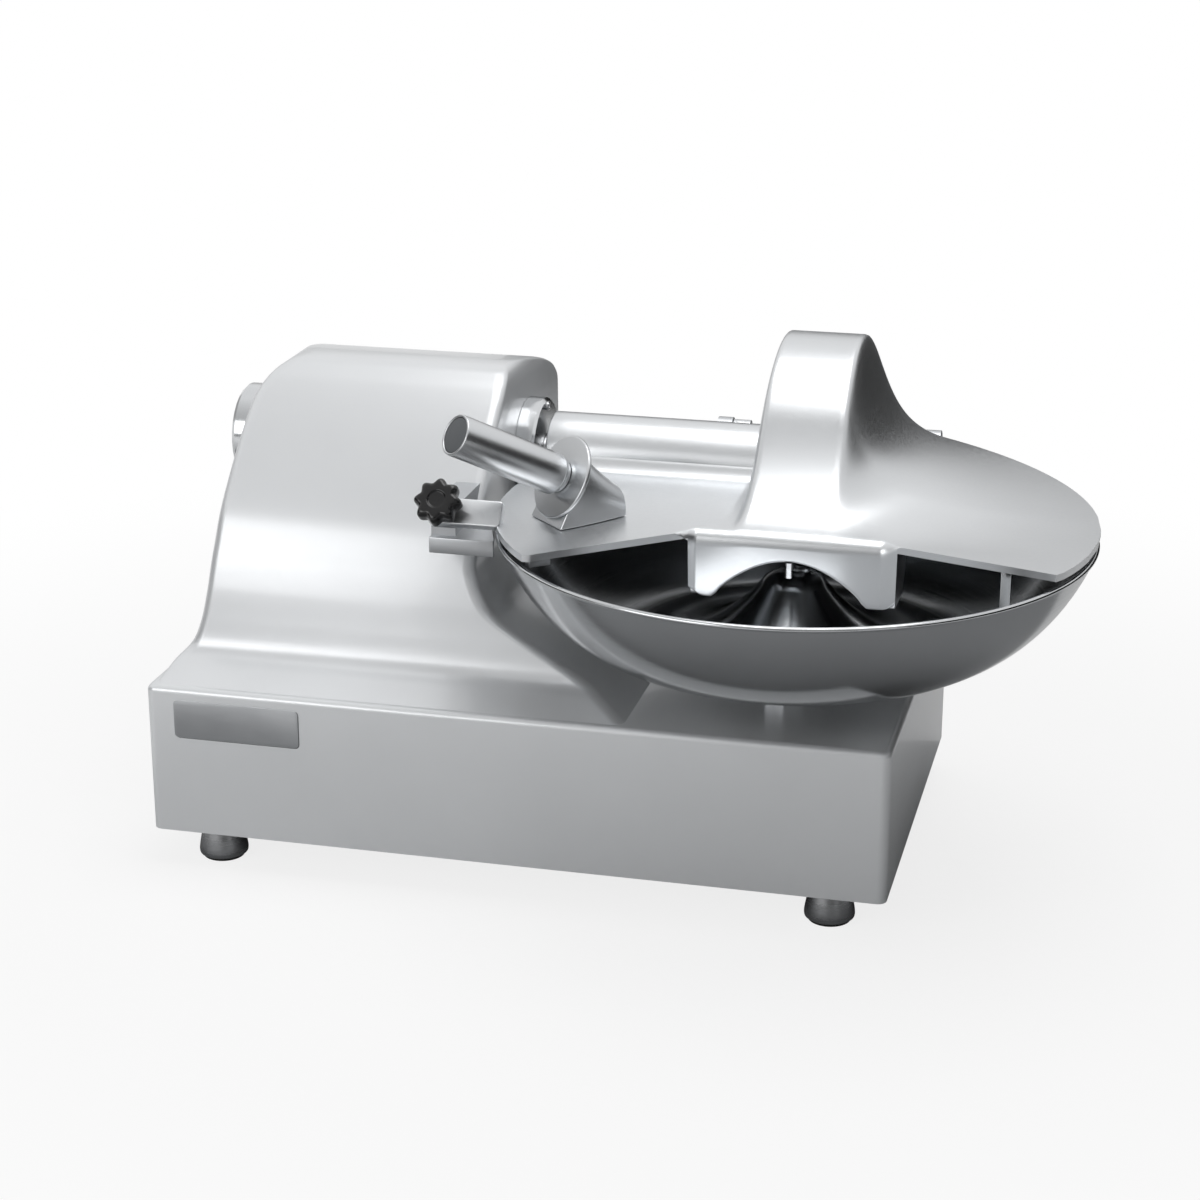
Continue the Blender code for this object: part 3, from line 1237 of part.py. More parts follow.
def add_knuckles(shop, lid):
    """Join the two hinge knuckles and their arms, and clear the plate round the posts."""
    half = KNUCKLE_WIDTH / 2
    for post, side in hinge_places():
        middle = knuckle_middle(post, side)
        reach = POST_WIDTH / 2 + GAP
        clear = rod(POST_RADIUS + 2 * RUNNING_GAP, post - reach, post + reach, SMALL_STEPS)
        shop.cut(lid, clear, along_x(0.0, HINGE_Y, HINGE_Z))
        arm_half = half - 2 * RUNNING_GAP
        arm_low = (middle - arm_half, HINGE_Y - HINGE_ARM, HINGE_Z - LID_WALL + RUNNING_GAP)
        arm_high = (middle + arm_half, HINGE_Y, HINGE_Z + KNUCKLE_RADIUS * ARM_SHARE)
        shop.join(lid, span(arm_low, arm_high))
        barrel = rod(KNUCKLE_RADIUS, middle - half, middle + half, SMALL_STEPS)
        shop.join(lid, barrel, along_x(0.0, HINGE_Y, HINGE_Z))
        bore = rod(HINGE_PIN_RADIUS + GAP, middle - half - OVERRUN, middle + half + OVERRUN, SMALL_STEPS)
        shop.cut(lid, bore, along_x(0.0, HINGE_Y, HINGE_Z))


def lock_frame(reach=0.0, shift=0.0):
    """Return a frame on the lock's slanting axis, with local Z out towards the knob."""
    outward = Vector((0.0, -math.sin(LOCK_TILT), math.cos(LOCK_TILT)))
    origin = Vector((LOCK_X + shift, LOCK_Y, LOCK_Z)) + reach * outward
    return along(outward, origin)


def add_lock_lug(shop, lid):
    """Join the slanting lug that carries the lock, and bore it for the pin."""
    wide = LOCK_HALF_WIDTH + LOCK_REACH
    plate = block((wide, 2 * LOCK_HALF_WIDTH, LOCK_PLATE))
    shift = (wide / 2 - LOCK_HALF_WIDTH)
    shop.join(lid, plate, lock_frame(RUNNING_GAP / 2 + LOCK_PLATE / 2, shift))
    shop.cut(lid, rod(PIN_RADIUS + GAP, -OVERRUN, LOCK_PLATE + OVERRUN), lock_frame())


def make_lid(shop):
    """Make the one-piece cast lid: plate, hump, fairing, tunnel, skirts, knuckles and lock lug."""
    lid = shop.add("lid_casting", lid_shell(), "cast_aluminium")
    reach = BOWL_X - TUNNEL_REACH
    start = BOWL_X - TUNNEL_PLATE_END + OVERRUN
    mesh, frame = sweep_along_x(arch_section(TUNNEL_RADIUS + TUNNEL_COLLAR, AXIS_RISE + LID_WALL / 2), reach, start,
                                SHAFT_Y, SHAFT_HEIGHT)
    shop.join(lid, mesh, frame)
    inner = TUNNEL_RADIUS + TUNNEL_COLLAR - TUNNEL_WALL
    drop = AXIS_RISE + 2 * LID_WALL
    mesh, frame = sweep_along_x(arch_section(inner, drop), reach - OVERRUN, BOWL_X - TUNNEL_CLEAR_END,
                                SHAFT_Y, SHAFT_HEIGHT)
    shop.cut(lid, mesh, frame)
    add_skirts(shop, lid)
    add_knuckles(shop, lid)
    add_lock_lug(shop, lid)
    return lid


def make_hinges(shop):
    """Make the two hinge posts on the base and their pins."""
    height = HINGE_Z - BASE_TOP - GAP
    for name, (post, side) in zip(("left", "right"), hinge_places()):
        heel = -(POST_FOOT + POST_RADIUS) / 2
        profile = [(heel, -height), (POST_RADIUS, -height)]
        profile += arc(POST_RADIUS, 0.0, math.pi, 10)
        profile += [(-POST_RADIUS, -height + POST_FOOT), (heel, -height + POST_FLANGE)]
        half = POST_WIDTH / 2
        mesh, frame = sweep_along_x(profile, post - half, post + half, HINGE_Y, HINGE_Z)
        body = shop.add(f"{name}_hinge_post", mesh, "cast_aluminium", frame)
        length = POST_WIDTH + OVERRUN
        bore = rod(HINGE_PIN_RADIUS + GAP, post - length, post + length)
        shop.cut(body, bore, along_x(0.0, HINGE_Y, HINGE_Z))
        far = knuckle_middle(post, side) + side * KNUCKLE_WIDTH / 2
        near = post - side * POST_WIDTH / 2
        low, high = sorted((near, far))
        head = HINGE_PIN_RADIUS - RUNNING_GAP
        pin = [(0.0, high), (head, high), (HINGE_PIN_RADIUS, high - RUNNING_GAP)]
        pin += [(HINGE_PIN_RADIUS, low + RUNNING_GAP), (head, low), (0.0, low)]
        turned(shop, f"{name}_hinge_pin", pin, "turned_steel", along_x(0.0, HINGE_Y, HINGE_Z), SMALL_STEPS)


def handle_direction():
    """Return the unit direction from the guard disc out along the handle."""
    level = math.cos(HANDLE_TILT)
    return Vector((-level * math.cos(HANDLE_TURN), -level * math.sin(HANDLE_TURN), math.sin(HANDLE_TILT)))


def handle_frame(reach=0.0):
    """Return a frame on the handle's axis, with local Z out along it."""
    centre = Vector((BOWL_X + HANDLE_X, BOWL_Y + HANDLE_Y, LID_TOP + HANDLE_RISE))
    return along(handle_direction(), centre + reach * handle_direction())


def make_handle(shop):
    """Make the cast boss, guard disc, grip tube and end cap of the lid's handle."""
    half = DISC_THICKNESS / 2
    ring_edge = RUNNING_GAP / 2
    disc = [(0.0, half), (DISC_RADIUS - ring_edge, half), (DISC_RADIUS, half - ring_edge)]
    disc += [(DISC_RADIUS, -half + ring_edge), (DISC_RADIUS - ring_edge, -half), (0.0, -half)]
    turned(shop, "guard_disc", disc, "polished_steel", handle_frame())
    start = half + GAP
    neck = HANDLE_RADIUS * 0.8
    inner = HANDLE_RADIUS - 2 * RUNNING_GAP
    end = start + HANDLE_LENGTH
    recess = end - END_CAP_THICKNESS - GAP
    tube = [
        (0.0, recess),
        (inner, recess),
        (inner, end),
        (HANDLE_RADIUS - RUNNING_GAP / 2, end),
        (HANDLE_RADIUS, end - RUNNING_GAP / 2),
        (HANDLE_RADIUS, start + HANDLE_NECK),
        (neck, start + HANDLE_NECK / 2),
        (neck, start),
        (0.0, start),
    ]
    turned(shop, "handle_tube", tube, "polished_steel", handle_frame())
    cap_edge = inner - GAP
    cap = [(0.0, end - RUNNING_GAP / 2), (cap_edge, end - RUNNING_GAP / 2)]
    cap += [(cap_edge, end - END_CAP_THICKNESS), (0.0, end - END_CAP_THICKNESS)]
    turned(shop, "handle_end_cap", cap, "grey_plastic", handle_frame())
    make_cast_boss(shop)


def make_cast_boss(shop):
    """Make the arched boss behind the guard disc, which falls away to the lid plate."""
    centre = Vector((BOWL_X + HANDLE_X, BOWL_Y + HANDLE_Y, LID_TOP + HANDLE_RISE))
    outward = Vector((-math.cos(HANDLE_TURN), -math.sin(HANDLE_TURN), 0.0))
    side = Vector((math.sin(HANDLE_TURN), -math.cos(HANDLE_TURN), 0.0))
    floor = GAP - HANDLE_RISE
    behind = (DISC_THICKNESS / 2 + GAP) / math.cos(HANDLE_TILT)
    rings = []
    for share in (0.0, 0.25, 0.5, 0.75, 1.0):
        half = CAST_BOSS_HALF_WIDTH * (1 - 0.25 * share)
        top = CAST_BOSS_RISE * (1 - 0.72 * share ** 1.3)
        points = []
        for turn in np.linspace(0.0, math.pi, 11):
            across = half * math.cos(turn)
            rise = floor + top * math.sin(turn) ** 0.7
            lean = -math.tan(HANDLE_TILT) * rise * (1 - share)
            along_axis = lean - behind - CAST_BOSS_LENGTH * share
            points.append(tuple(centre + outward * along_axis + side * across + Vector((0, 0, rise))))
        rings.append(points)
    mesh = loft(rings)
    shape = bmesh.new()
    shape.from_mesh(mesh)
    bmesh.ops.recalc_face_normals(shape, faces=shape.faces)
    shape.to_mesh(mesh)
    shape.free()
    shop.add("handle_boss", mesh, "cast_aluminium")


def make_lock(shop):
    """Make the bracket on the tower, the sliding pin and the star knob."""
    make_lock_bracket(shop)
    tip = RUNNING_GAP / 2
    profile = [(0.0, tip + PIN_LENGTH), (PIN_RADIUS, tip + PIN_LENGTH), (PIN_RADIUS, tip + RUNNING_GAP)]
    profile += [(PIN_RADIUS - RUNNING_GAP, tip), (0.0, tip)]
    turned(shop, "lock_pin", profile, "turned_steel", lock_frame(), SMALL_STEPS)
    start = tip + LOCK_PLATE + GAP
    lobes = []
    for i in range(KNOB_LOBES * LOBE_STEPS):
        turn = TURN * i / (KNOB_LOBES * LOBE_STEPS)
        radius = KNOB_RADIUS - KNOB_LOBE_DEPTH * (1 - math.cos(turn * KNOB_LOBES))
        lobes.append((radius, turn))
    rings = []
    levels = ((0.0, 0.90), (0.18, 1.0), (0.70, 1.0), (0.92, 0.86), (1.0, 0.66))
    for share, scale in levels:
        z = start + KNOB_HUB_LENGTH + KNOB_WIDTH * share
        rings.append([(r * scale * math.cos(t), r * scale * math.sin(t), z) for r, t in lobes])
    knob = shop.add("star_knob", loft(rings), "black_plastic", lock_frame())
    shop.join(knob, rod(KNOB_HUB_RADIUS, start, start + KNOB_HUB_LENGTH + RUNNING_GAP), lock_frame())
    deep = tip + PIN_LENGTH + GAP
    shop.cut(knob, rod(PIN_RADIUS + GAP, start - OVERRUN, deep), lock_frame())


def make_lock_bracket(shop):
    """Make the bracket: a bar on the tower's front with a slanting keeper for the pin."""
    top = BRACKET_BOTTOM + BRACKET_THICKNESS
    bar = span((BRACKET_LEFT, BRACKET_FRONT, BRACKET_BOTTOM), (BRACKET_RIGHT, BRACKET_REAR, top), RUNNING_GAP)
    bracket = shop.add("lock_bracket", bar, "cast_aluminium")
    up_y, up_z = math.cos(LOCK_TILT), math.sin(LOCK_TILT)
    low = (LOCK_Y - LOCK_HALF_WIDTH * up_y, LOCK_Z - LOCK_HALF_WIDTH * up_z)
    high = (LOCK_Y + LOCK_HALF_WIDTH * up_y, LOCK_Z + LOCK_HALF_WIDTH * up_z)
    profile = [low, (low[0], top - RUNNING_GAP), (BRACKET_REAR, top - RUNNING_GAP), (BRACKET_REAR, high[1]), high]
    edge = LOCK_X - LOCK_HALF_WIDTH + RUNNING_GAP
    mesh, frame = sweep_along_x(profile, edge, edge + 2 * LOCK_HALF_WIDTH - 2 * RUNNING_GAP, 0.0, 0.0)
    shop.join(bracket, mesh, frame)
    shop.cut(bracket, loft(tower_rings(GAP)))
    clear = rod(LID_RADIUS + 2 * RUNNING_GAP, BRACKET_BOTTOM - OVERRUN, LOCK_Z + OVERRUN, BOWL_STEPS)
    shop.cut(bracket, clear, at(BOWL_X, BOWL_Y, 0.0))
    shop.cut(bracket, rod(PIN_RADIUS + GAP, -PIN_TRAVEL - RUNNING_GAP, OVERRUN), lock_frame())


def make_lid_details(shop):
    """Make the bowl scraper, the pin under the arch and the tab under the lid's corner."""
    under = LID_TOP - LID_WALL - GAP
    x, y = BOWL_X + SCRAPER_X, BOWL_Y + SCRAPER_Y
    size = (SCRAPER_WIDTH, SCRAPER_THICKNESS, SCRAPER_DROP)
    shop.add("bowl_scraper", block(size, (x, y, under - SCRAPER_DROP / 2), RUNNING_GAP / 2), "polished_steel")
    x, y = BOWL_X + TAB_X, BOWL_Y + TAB_Y
    turn = math.atan2(LEFT_JOIN[1] - LEFT_CORNER[1], LEFT_JOIN[0] - LEFT_CORNER[0])
    tab = block((TAB_LENGTH, TAB_WIDTH, TAB_DROP), (0, 0, -TAB_DROP / 2), RUNNING_GAP / 2)
    shop.add("corner_tab", tab, "cast_aluminium", at(x, y, under) @ Matrix.Rotation(turn, 4, "Z"))
    top = LID_TOP - LID_WALL - ARCH_FOOT + ARCH_RISE - GAP
    middle = BOWL_X + (ARCH_RIGHT - ARCH_LEFT) / 2
    pin = [(0.0, 0.0), (ARCH_PIN_RADIUS, 0.0), (ARCH_PIN_RADIUS, -ARCH_PIN_LENGTH), (0.0, -ARCH_PIN_LENGTH)]
    place = at(middle, BOWL_Y - HUMP_FRONT + SKIRT_WALL / 2, top)
    turned(shop, "arch_pin", pin, "turned_steel", place, SMALL_STEPS)


def make_switches(shop):
    """Make the recessed switch plate in the left end, its two buttons and the contact block."""
    wide, high = SWITCH_OPENING
    inner = LEFT_END + WALL + GAP
    size = (SWITCH_PLATE, wide + 2 * SWITCH_LAND, high + 2 * SWITCH_LAND)
    plate = shop.add("switch_plate", block(size, (inner + SWITCH_PLATE / 2, SWITCH_Y, SWITCH_Z)), "grey_plastic")
    back = inner + SWITCH_PLATE + GAP
    contact = shop.add("contact_block", block((CONTACT_DEPTH, wide, high), (back + CONTACT_DEPTH / 2, SWITCH_Y, SWITCH_Z)),
                       "black_plastic")
    half = SWITCH_SPACING / 2
    rows = (("start_button", SWITCH_Y - half, "green_plastic"), ("stop_button", SWITCH_Y + half, "red_plastic"))
    face = LEFT_END + GAP
    collar = back + BUTTON_TRAVEL + RUNNING_GAP
    for name, y, finish in rows:
        axis = along_x(face, y, SWITCH_Z)
        cap = inner + SWITCH_PLATE - face
        stem = cap + STEM_LENGTH
        edge = RUNNING_GAP
        profile = [(0.0, stem), (STEM_RADIUS, stem), (STEM_RADIUS, cap), (BUTTON_RADIUS, cap)]
        profile += [(BUTTON_RADIUS, edge), (BUTTON_RADIUS - edge, 0.0), (0.0, 0.0)]
        turned(shop, name, profile, finish, axis, SMALL_STEPS)
        shop.cut(plate, rod(BUTTON_RADIUS + GAP, -OVERRUN, 2 * OVERRUN + WALL + SWITCH_PLATE), axis)
        pocket = rod(BUTTON_RADIUS + GAP, 0.0, collar - face)
        shop.cut(contact, pocket, axis)
        shop.cut(contact, rod(STEM_RADIUS + GAP, 0.0, stem + BUTTON_TRAVEL + RUNNING_GAP), axis)


def make_power_inlet(shop):
    """Make the appliance inlet, flush in the rear wall and flanged behind it."""
    wide, high = INLET_BODY
    face = REAR_END - GAP
    body = span((-wide / 2, -INLET_DEPTH, -high / 2), (wide / 2, 0.0, high / 2))
    inlet = shop.add("power_inlet", body, "black_plastic", at(INLET_X, face, INLET_Z))
    behind = -WALL
    reach = INLET_FLANGE
    flange = span((-wide / 2 - reach, behind - SWITCH_PLATE, -high / 2 - reach), (wide / 2 + reach, behind, high / 2 + reach))
    shop.join(inlet, flange, at(INLET_X, face, INLET_Z))
    wide, high = INLET_SOCKET
    socket = span((-wide / 2, -SOCKET_DEPTH, -high / 2), (wide / 2, OVERRUN, high / 2))
    shop.cut(inlet, socket, at(INLET_X, face, INLET_Z))


def main():
    """Build every piece of the machine."""
    clear_scene()
    shop = Workshop()
    make_housing(shop)
    make_base_cover(shop)
    make_feet(shop)
    make_motor(shop)
    make_end_bells(shop)
    make_motor_stand(shop)
    make_bearing_housing(shop)
    make_rear_cap(shop)
    make_knife_shaft(shop)
    make_knives(shop)
    make_gearbox(shop)
    make_worm(shop)
    make_spindle(shop)
    make_belt(shop)
    make_bowl(shop)
    make_lid(shop)
    make_hinges(shop)
    make_handle(shop)
    make_lock(shop)
    make_lid_details(shop)
    make_switches(shop)
    make_power_inlet(shop)


main()
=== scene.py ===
"""Visual model of the bench-top meat bowl cutter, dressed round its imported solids.

Each sub-assembly is a class with its sizes as fields. Its surfaces are numpy grids of two
parameters, and each finish is a procedural material named for the real one. Metres, +Z up,
+X towards the bowl, -Y towards the operator.
"""

import json
import logging
import math
from dataclasses import dataclass
from enum import Enum

import bmesh
import bpy
import numpy as np
from mathutils import Matrix, Vector

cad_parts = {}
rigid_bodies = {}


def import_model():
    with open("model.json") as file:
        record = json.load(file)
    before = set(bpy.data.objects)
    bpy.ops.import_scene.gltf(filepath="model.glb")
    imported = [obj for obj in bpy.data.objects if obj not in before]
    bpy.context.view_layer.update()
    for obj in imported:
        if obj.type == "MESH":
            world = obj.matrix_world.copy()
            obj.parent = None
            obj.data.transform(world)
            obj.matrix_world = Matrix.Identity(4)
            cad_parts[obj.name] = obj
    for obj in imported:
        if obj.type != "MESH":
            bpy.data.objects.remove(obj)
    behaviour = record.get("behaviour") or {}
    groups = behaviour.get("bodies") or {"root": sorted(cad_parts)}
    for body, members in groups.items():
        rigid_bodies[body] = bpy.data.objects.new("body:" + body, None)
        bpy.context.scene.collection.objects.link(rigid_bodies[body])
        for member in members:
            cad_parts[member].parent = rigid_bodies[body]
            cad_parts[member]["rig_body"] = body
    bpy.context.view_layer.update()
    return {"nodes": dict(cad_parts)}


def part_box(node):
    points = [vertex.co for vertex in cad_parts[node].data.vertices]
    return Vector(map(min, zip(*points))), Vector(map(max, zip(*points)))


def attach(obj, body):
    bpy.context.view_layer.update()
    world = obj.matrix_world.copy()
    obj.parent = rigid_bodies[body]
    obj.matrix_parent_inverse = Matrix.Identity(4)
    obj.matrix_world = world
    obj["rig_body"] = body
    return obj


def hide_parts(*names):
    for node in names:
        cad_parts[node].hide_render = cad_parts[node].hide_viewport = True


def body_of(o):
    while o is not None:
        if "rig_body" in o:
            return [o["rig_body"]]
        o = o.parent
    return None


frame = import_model()

log = logging.getLogger("bowl_cutter")
TURN = 2.0 * math.pi
MM = 0.001
GAP = 0.3 * MM
WHITE = (1.0, 1.0, 1.0, 1.0)


# Nodes and finishes

def linear(hex_colour: str) -> tuple[float, float, float, float]:
    """Turn an sRGB hex colour into a linear colour with full alpha.

    Args:
        hex_colour: The colour as "#rrggbb".

    Returns:
        Red, green, blue and alpha, each from 0 to 1.
    """
    values = np.array([int(hex_colour[i:i + 2], 16) for i in (1, 3, 5)]) / 255.0
    flat = np.where(values <= 0.04045, values / 12.92, ((values + 0.055) / 1.055) ** 2.4)
    return (*flat.tolist(), 1.0)


def add_node(tree: bpy.types.NodeTree, kind: str, settings: dict | None = None,
             links: dict | None = None) -> bpy.types.Node:
    """Add one node with its settings and incoming links.

    Args:
        tree: The node tree that gets the node.
        kind: Blender's name of the node type, after the word ShaderNode.
        settings: Properties by name, and socket values by name or number.
        links: Source sockets by the name or number of the input they feed.

    Returns:
        The new node.
    """
    node = tree.nodes.new(f"ShaderNode{kind}")
    for key, value in (settings or {}).items():
        if isinstance(key, int) or key in node.inputs:
            node.inputs[key].default_value = value
        else:
            setattr(node, key, value)
    for key, source in (links or {}).items():
        tree.links.new(source, node.inputs[key])
    return node


def empty_material(name: str) -> tuple[bpy.types.Material, bpy.types.NodeTree]:
    """Return a new material without nodes, and its node tree."""
    material = bpy.data.materials.new(name)
    material.use_nodes = True
    material.node_tree.nodes.clear()
    return material, material.node_tree


def ranged(tree: bpy.types.NodeTree, source: bpy.types.NodeSocket, span: tuple, result: tuple,
           interpolation: str = "LINEAR") -> bpy.types.NodeSocket:
    """Bring a value from one span to another, held at the ends.

    Args:
        tree: The node tree.
        source: Socket of the value.
        span: Its least and greatest value.
        result: What these two become.
        interpolation: How the values between them run.

    Returns:
        The new value's socket.
    """
    settings = {"From Min": span[0], "From Max": span[1], "To Min": result[0], "To Max": result[1],
                "interpolation_type": interpolation}
    return add_node(tree, "MapRange", settings, {"Value": source}).outputs["Result"]


def combined(tree: bpy.types.NodeTree, operation: str, first: bpy.types.NodeSocket,
             second: bpy.types.NodeSocket) -> bpy.types.NodeSocket:
    """Return the socket of two values' sum ("ADD") or product ("MULTIPLY")."""
    return add_node(tree, "Math", {"operation": operation}, {0: first, 1: second}).outputs[0]


def mixed(tree: bpy.types.NodeTree, share: bpy.types.NodeSocket, first: bpy.types.Node,
          second: bpy.types.Node) -> bpy.types.Node:
    """Return a mix of two shaders, with the second one's share."""
    return add_node(tree, "MixShader", {}, {0: share, 1: first.outputs[0], 2: second.outputs[0]})


class Pattern(Enum):
    """How a surface was made, which sets the run of its marks."""

    CAST = "pebbled in every direction by a mould, blasting or sprayed paint"
    TURNED = "rings round an axis, left by a lathe tool or by spinning"
    BRUSHED = "straight strokes along the local X axis"
    LAYERED = "thin sheets stacked along the local Z axis"


@dataclass(frozen=True)
class Finish:
    """One real material and how its surface was made.

    Args:
        name: Common name of the material and its making.
        slot: Material slot of the record that it dresses.
        tone: Colour of the lighter patches, sRGB hex.
        shade: Colour of the darker patches, sRGB hex.
        metallic: One for bare metal, zero for paint, plastic and rubber.
        roughness: Middle value of the roughness.
        spread: How far the roughness wanders to each side.
        pattern: Run of the surface marks.
        grain_mm: Spacing of the marks in millimetres.
        relief_mm: Height of the marks in millimetres.
        patch_mm: Size of the faint tone patches in millimetres.
        anisotropy: Stretch of the highlight along the marks.
        coat: Share of a clear coat over the colour.
        ior: Index of refraction, used on non-metals only.
    """

    name: str
    slot: str
    tone: str
    shade: str
    metallic: float
    roughness: float
    spread: float
    pattern: Pattern
    grain_mm: float
    relief_mm: float
    patch_mm: float = 60.0
    anisotropy: float = 0.0
    coat: float = 0.0
    ior: float = 1.5

    def make(self, place: Matrix | None = None, tag: str = "") -> bpy.types.Material:
        """Build the material, or return it when it was built before.

        Args:
            place: Frame whose Z axis the rings or layers run round, or None for the machine's own.
            tag: Ending of the name for a material with its own place.

        Returns:
            The material.
        """
        name = self.name + tag
        if name in bpy.data.materials:
            return bpy.data.materials[name]
        material, tree = empty_material(name)
        surface = self.coordinates(tree, place or Matrix())
        marks = self.marks(tree, surface)
        patches = add_node(tree, "TexNoise", {"Scale": 1.0 / (self.patch_mm * MM), "Detail": 3.0},
                           {"Vector": surface})
        tint = add_node(tree, "Mix", {"data_type": "RGBA", 6: linear(self.shade), 7: linear(self.tone)},
                        {0: patches.outputs["Fac"]})
        sheen = ranged(tree, marks, (0.3, 0.7), (self.roughness - self.spread, self.roughness + self.spread))
        relief = add_node(tree, "Bump", {"Strength": 1.0, "Distance": self.relief_mm * MM},
                          {"Height": marks})
        settings = {"Metallic": self.metallic, "Anisotropic": self.anisotropy, "Coat Weight": self.coat}
        if not self.metallic:
            settings["IOR"] = self.ior
        shader = add_node(tree, "BsdfPrincipled", settings,
                          {"Base Color": tint.outputs[2], "Roughness": sheen, "Normal": relief.outputs["Normal"]})
        add_node(tree, "OutputMaterial", {}, {"Surface": shader.outputs["BSDF"]})
        return material

    def coordinates(self, tree: bpy.types.NodeTree, place: Matrix) -> bpy.types.NodeSocket:
        """Give Object coordinates in metres, brought into the frame of the marks.

        Args:
            tree: The material's node tree.
            place: Frame of the marks.

        Returns:
            A vector socket.
        """
        back = place.inverted()
        coords = add_node(tree, "TexCoord")
        mapping = add_node(tree, "Mapping",
                           {"Location": back.to_translation(), "Rotation": back.to_euler()},
                           {"Vector": coords.outputs["Object"]})
        return mapping.outputs["Vector"]

    def marks(self, tree: bpy.types.NodeTree, surface: bpy.types.NodeSocket) -> bpy.types.NodeSocket:
        """Draw the marks of the making as a value from 0 to 1.

        Rings are one-way noise of the distance from the axis plus the height along it. Layers
        are one-way noise of the height. Strokes are noise squeezed to a twentieth along X.

        Args:
            tree: The material's node tree.
            surface: Coordinates in the frame of the marks.

        Returns:
            A value socket.
        """
        scale = 1.0 / (self.grain_mm * MM)
        if self.pattern in (Pattern.CAST, Pattern.BRUSHED):
            stretch = (0.05, 1.0, 1.0) if self.pattern is Pattern.BRUSHED else (1.0, 1.0, 1.0)
            drawn = add_node(tree, "VectorMath", {"operation": "MULTIPLY", 1: stretch}, {0: surface})
            noise = add_node(tree, "TexNoise", {"Scale": scale, "Detail": 4.0, "Roughness": 0.55},
                             {"Vector": drawn.outputs[0]})
            return noise.outputs["Fac"]
        parts = add_node(tree, "SeparateXYZ", {}, {0: surface})
        line = parts.outputs["Z"]
        if self.pattern is Pattern.TURNED:
            level = add_node(tree, "VectorMath", {"operation": "MULTIPLY", 1: (1.0, 1.0, 0.0)},
                             {0: surface})
            reach = add_node(tree, "VectorMath", {"operation": "LENGTH"}, {0: level.outputs[0]})
            line = combined(tree, "ADD", reach.outputs["Value"], line)
        noise = add_node(tree, "TexNoise", {"noise_dimensions": "1D", "Scale": scale, "Detail": 3.0},
                         {"W": line})
        return noise.outputs["Fac"]


# Silver two-part paint sprayed on a sand casting: a faint orange peel that softens reflections.
# The peel is really about 1 mm, drawn at 3 mm so that it shows.
PAINTED_CASTING = Finish("sprayed_silver_paint", "painted_casting", "#e6e8ea", "#dcdee0", 0.35, 0.34, 0.03,
                         Pattern.CAST, 3.0, 0.004, 120.0, coat=0.2)
# Sand-cast aluminium, ground and buffed to satin: bright and slightly cloudy, with soft highlights.
BUFFED_ALUMINIUM = Finish("buffed_cast_aluminium", "cast_aluminium", "#d6d8da", "#caccce", 1.0, 0.33, 0.04,
                          Pattern.CAST, 2.5, 0.0025, 90.0)
# The same aluminium left blasted on small brackets: greyer and duller than the buffed lid.
BLASTED_ALUMINIUM = Finish("blasted_cast_aluminium", "cast_aluminium", "#bfc1c3", "#b0b2b5", 1.0, 0.40, 0.05,
                           Pattern.CAST, 1.2, 0.006, 40.0)
# Stainless sheet spun over a former and polished: near-mirror with faint rings round the axis.
# The rings are really about 0.5 mm apart, drawn at 2.5 mm.
SPUN_STEEL = Finish("spun_stainless_steel", "polished_steel", "#c6c8ca", "#babcbe", 1.0, 0.16, 0.04,
                    Pattern.TURNED, 2.5, 0.003, 80.0, anisotropy=0.3)
# Stainless bar and tube, turned and polished: mirror-like with the finest rings.
POLISHED_STEEL = Finish("polished_stainless_steel", "polished_steel", "#d2d4d6", "#caccce", 1.0, 0.15, 0.02,
                        Pattern.TURNED, 2.0, 0.0006, 50.0, anisotropy=0.1)
# Stainless tube for the grip, satin polished in no one direction: broad soft highlights, no rings.
SATIN_STEEL = Finish("satin_stainless_tube", "polished_steel", "#cfd1d3", "#c8cacc", 1.0, 0.30, 0.02,
                     Pattern.CAST, 2.5, 0.002, 90.0)
# Mild steel, turned and lightly oiled: a soft gloss that wanders by the tool's rings, which are
# too shallow to stand out in relief.
TURNED_STEEL = Finish("oiled_turned_steel", "turned_steel", "#c4c5c7", "#b2b3b5", 1.0, 0.28, 0.02,
                      Pattern.TURNED, 3.0, 0.0, 30.0)
# Hardened blade steel, ground flat: fine straight strokes and a sharp gloss.
GROUND_STEEL = Finish("ground_blade_steel", "knife_steel", "#d4d6d9", "#c5c7ca", 1.0, 0.17, 0.05,
                      Pattern.BRUSHED, 1.0, 0.006, 40.0, anisotropy=0.3)
# Grey iron with dip varnish: dark, blue and dull, with a pebbled skin.
VARNISHED_IRON = Finish("varnished_motor_iron", "motor_iron", "#3f4a52", "#333c43", 0.0, 0.50, 0.08,
                        Pattern.LAYERED, 1.0, 0.05, 30.0, ior=1.55)
# Enamelled copper wire, wound in coils: round ridges 1 mm apart, a warm broken gloss.
WOUND_COPPER = Finish("wound_copper_wire", "copper_winding", "#c8794a", "#a95f35", 1.0, 0.32, 0.06,
                      Pattern.LAYERED, 1.0, 0.10, 20.0)
# Chrome bearing steel, ground and honed: bright, with rings that only just blur it.
HONED_STEEL = Finish("honed_bearing_steel", "bearing_steel", "#cdcfd2", "#bfc1c4", 1.0, 0.18, 0.04,
                     Pattern.TURNED, 0.8, 0.004, 20.0)
# Cast gear bronze with cut teeth: warm and satin.
CUT_BRONZE = Finish("cut_gear_bronze", "bronze", "#c49a5e", "#ad844b", 1.0, 0.32, 0.06, Pattern.CAST, 1.0, 0.02, 20.0)
# Moulded synthetic rubber belt: matt black with a cloth grain.
BELT_RUBBER = Finish("moulded_belt_rubber", "belt_rubber", "#262626", "#1e1e1e", 0.0, 0.75, 0.08,
                     Pattern.CAST, 0.8, 0.04, 20.0, ior=1.52)
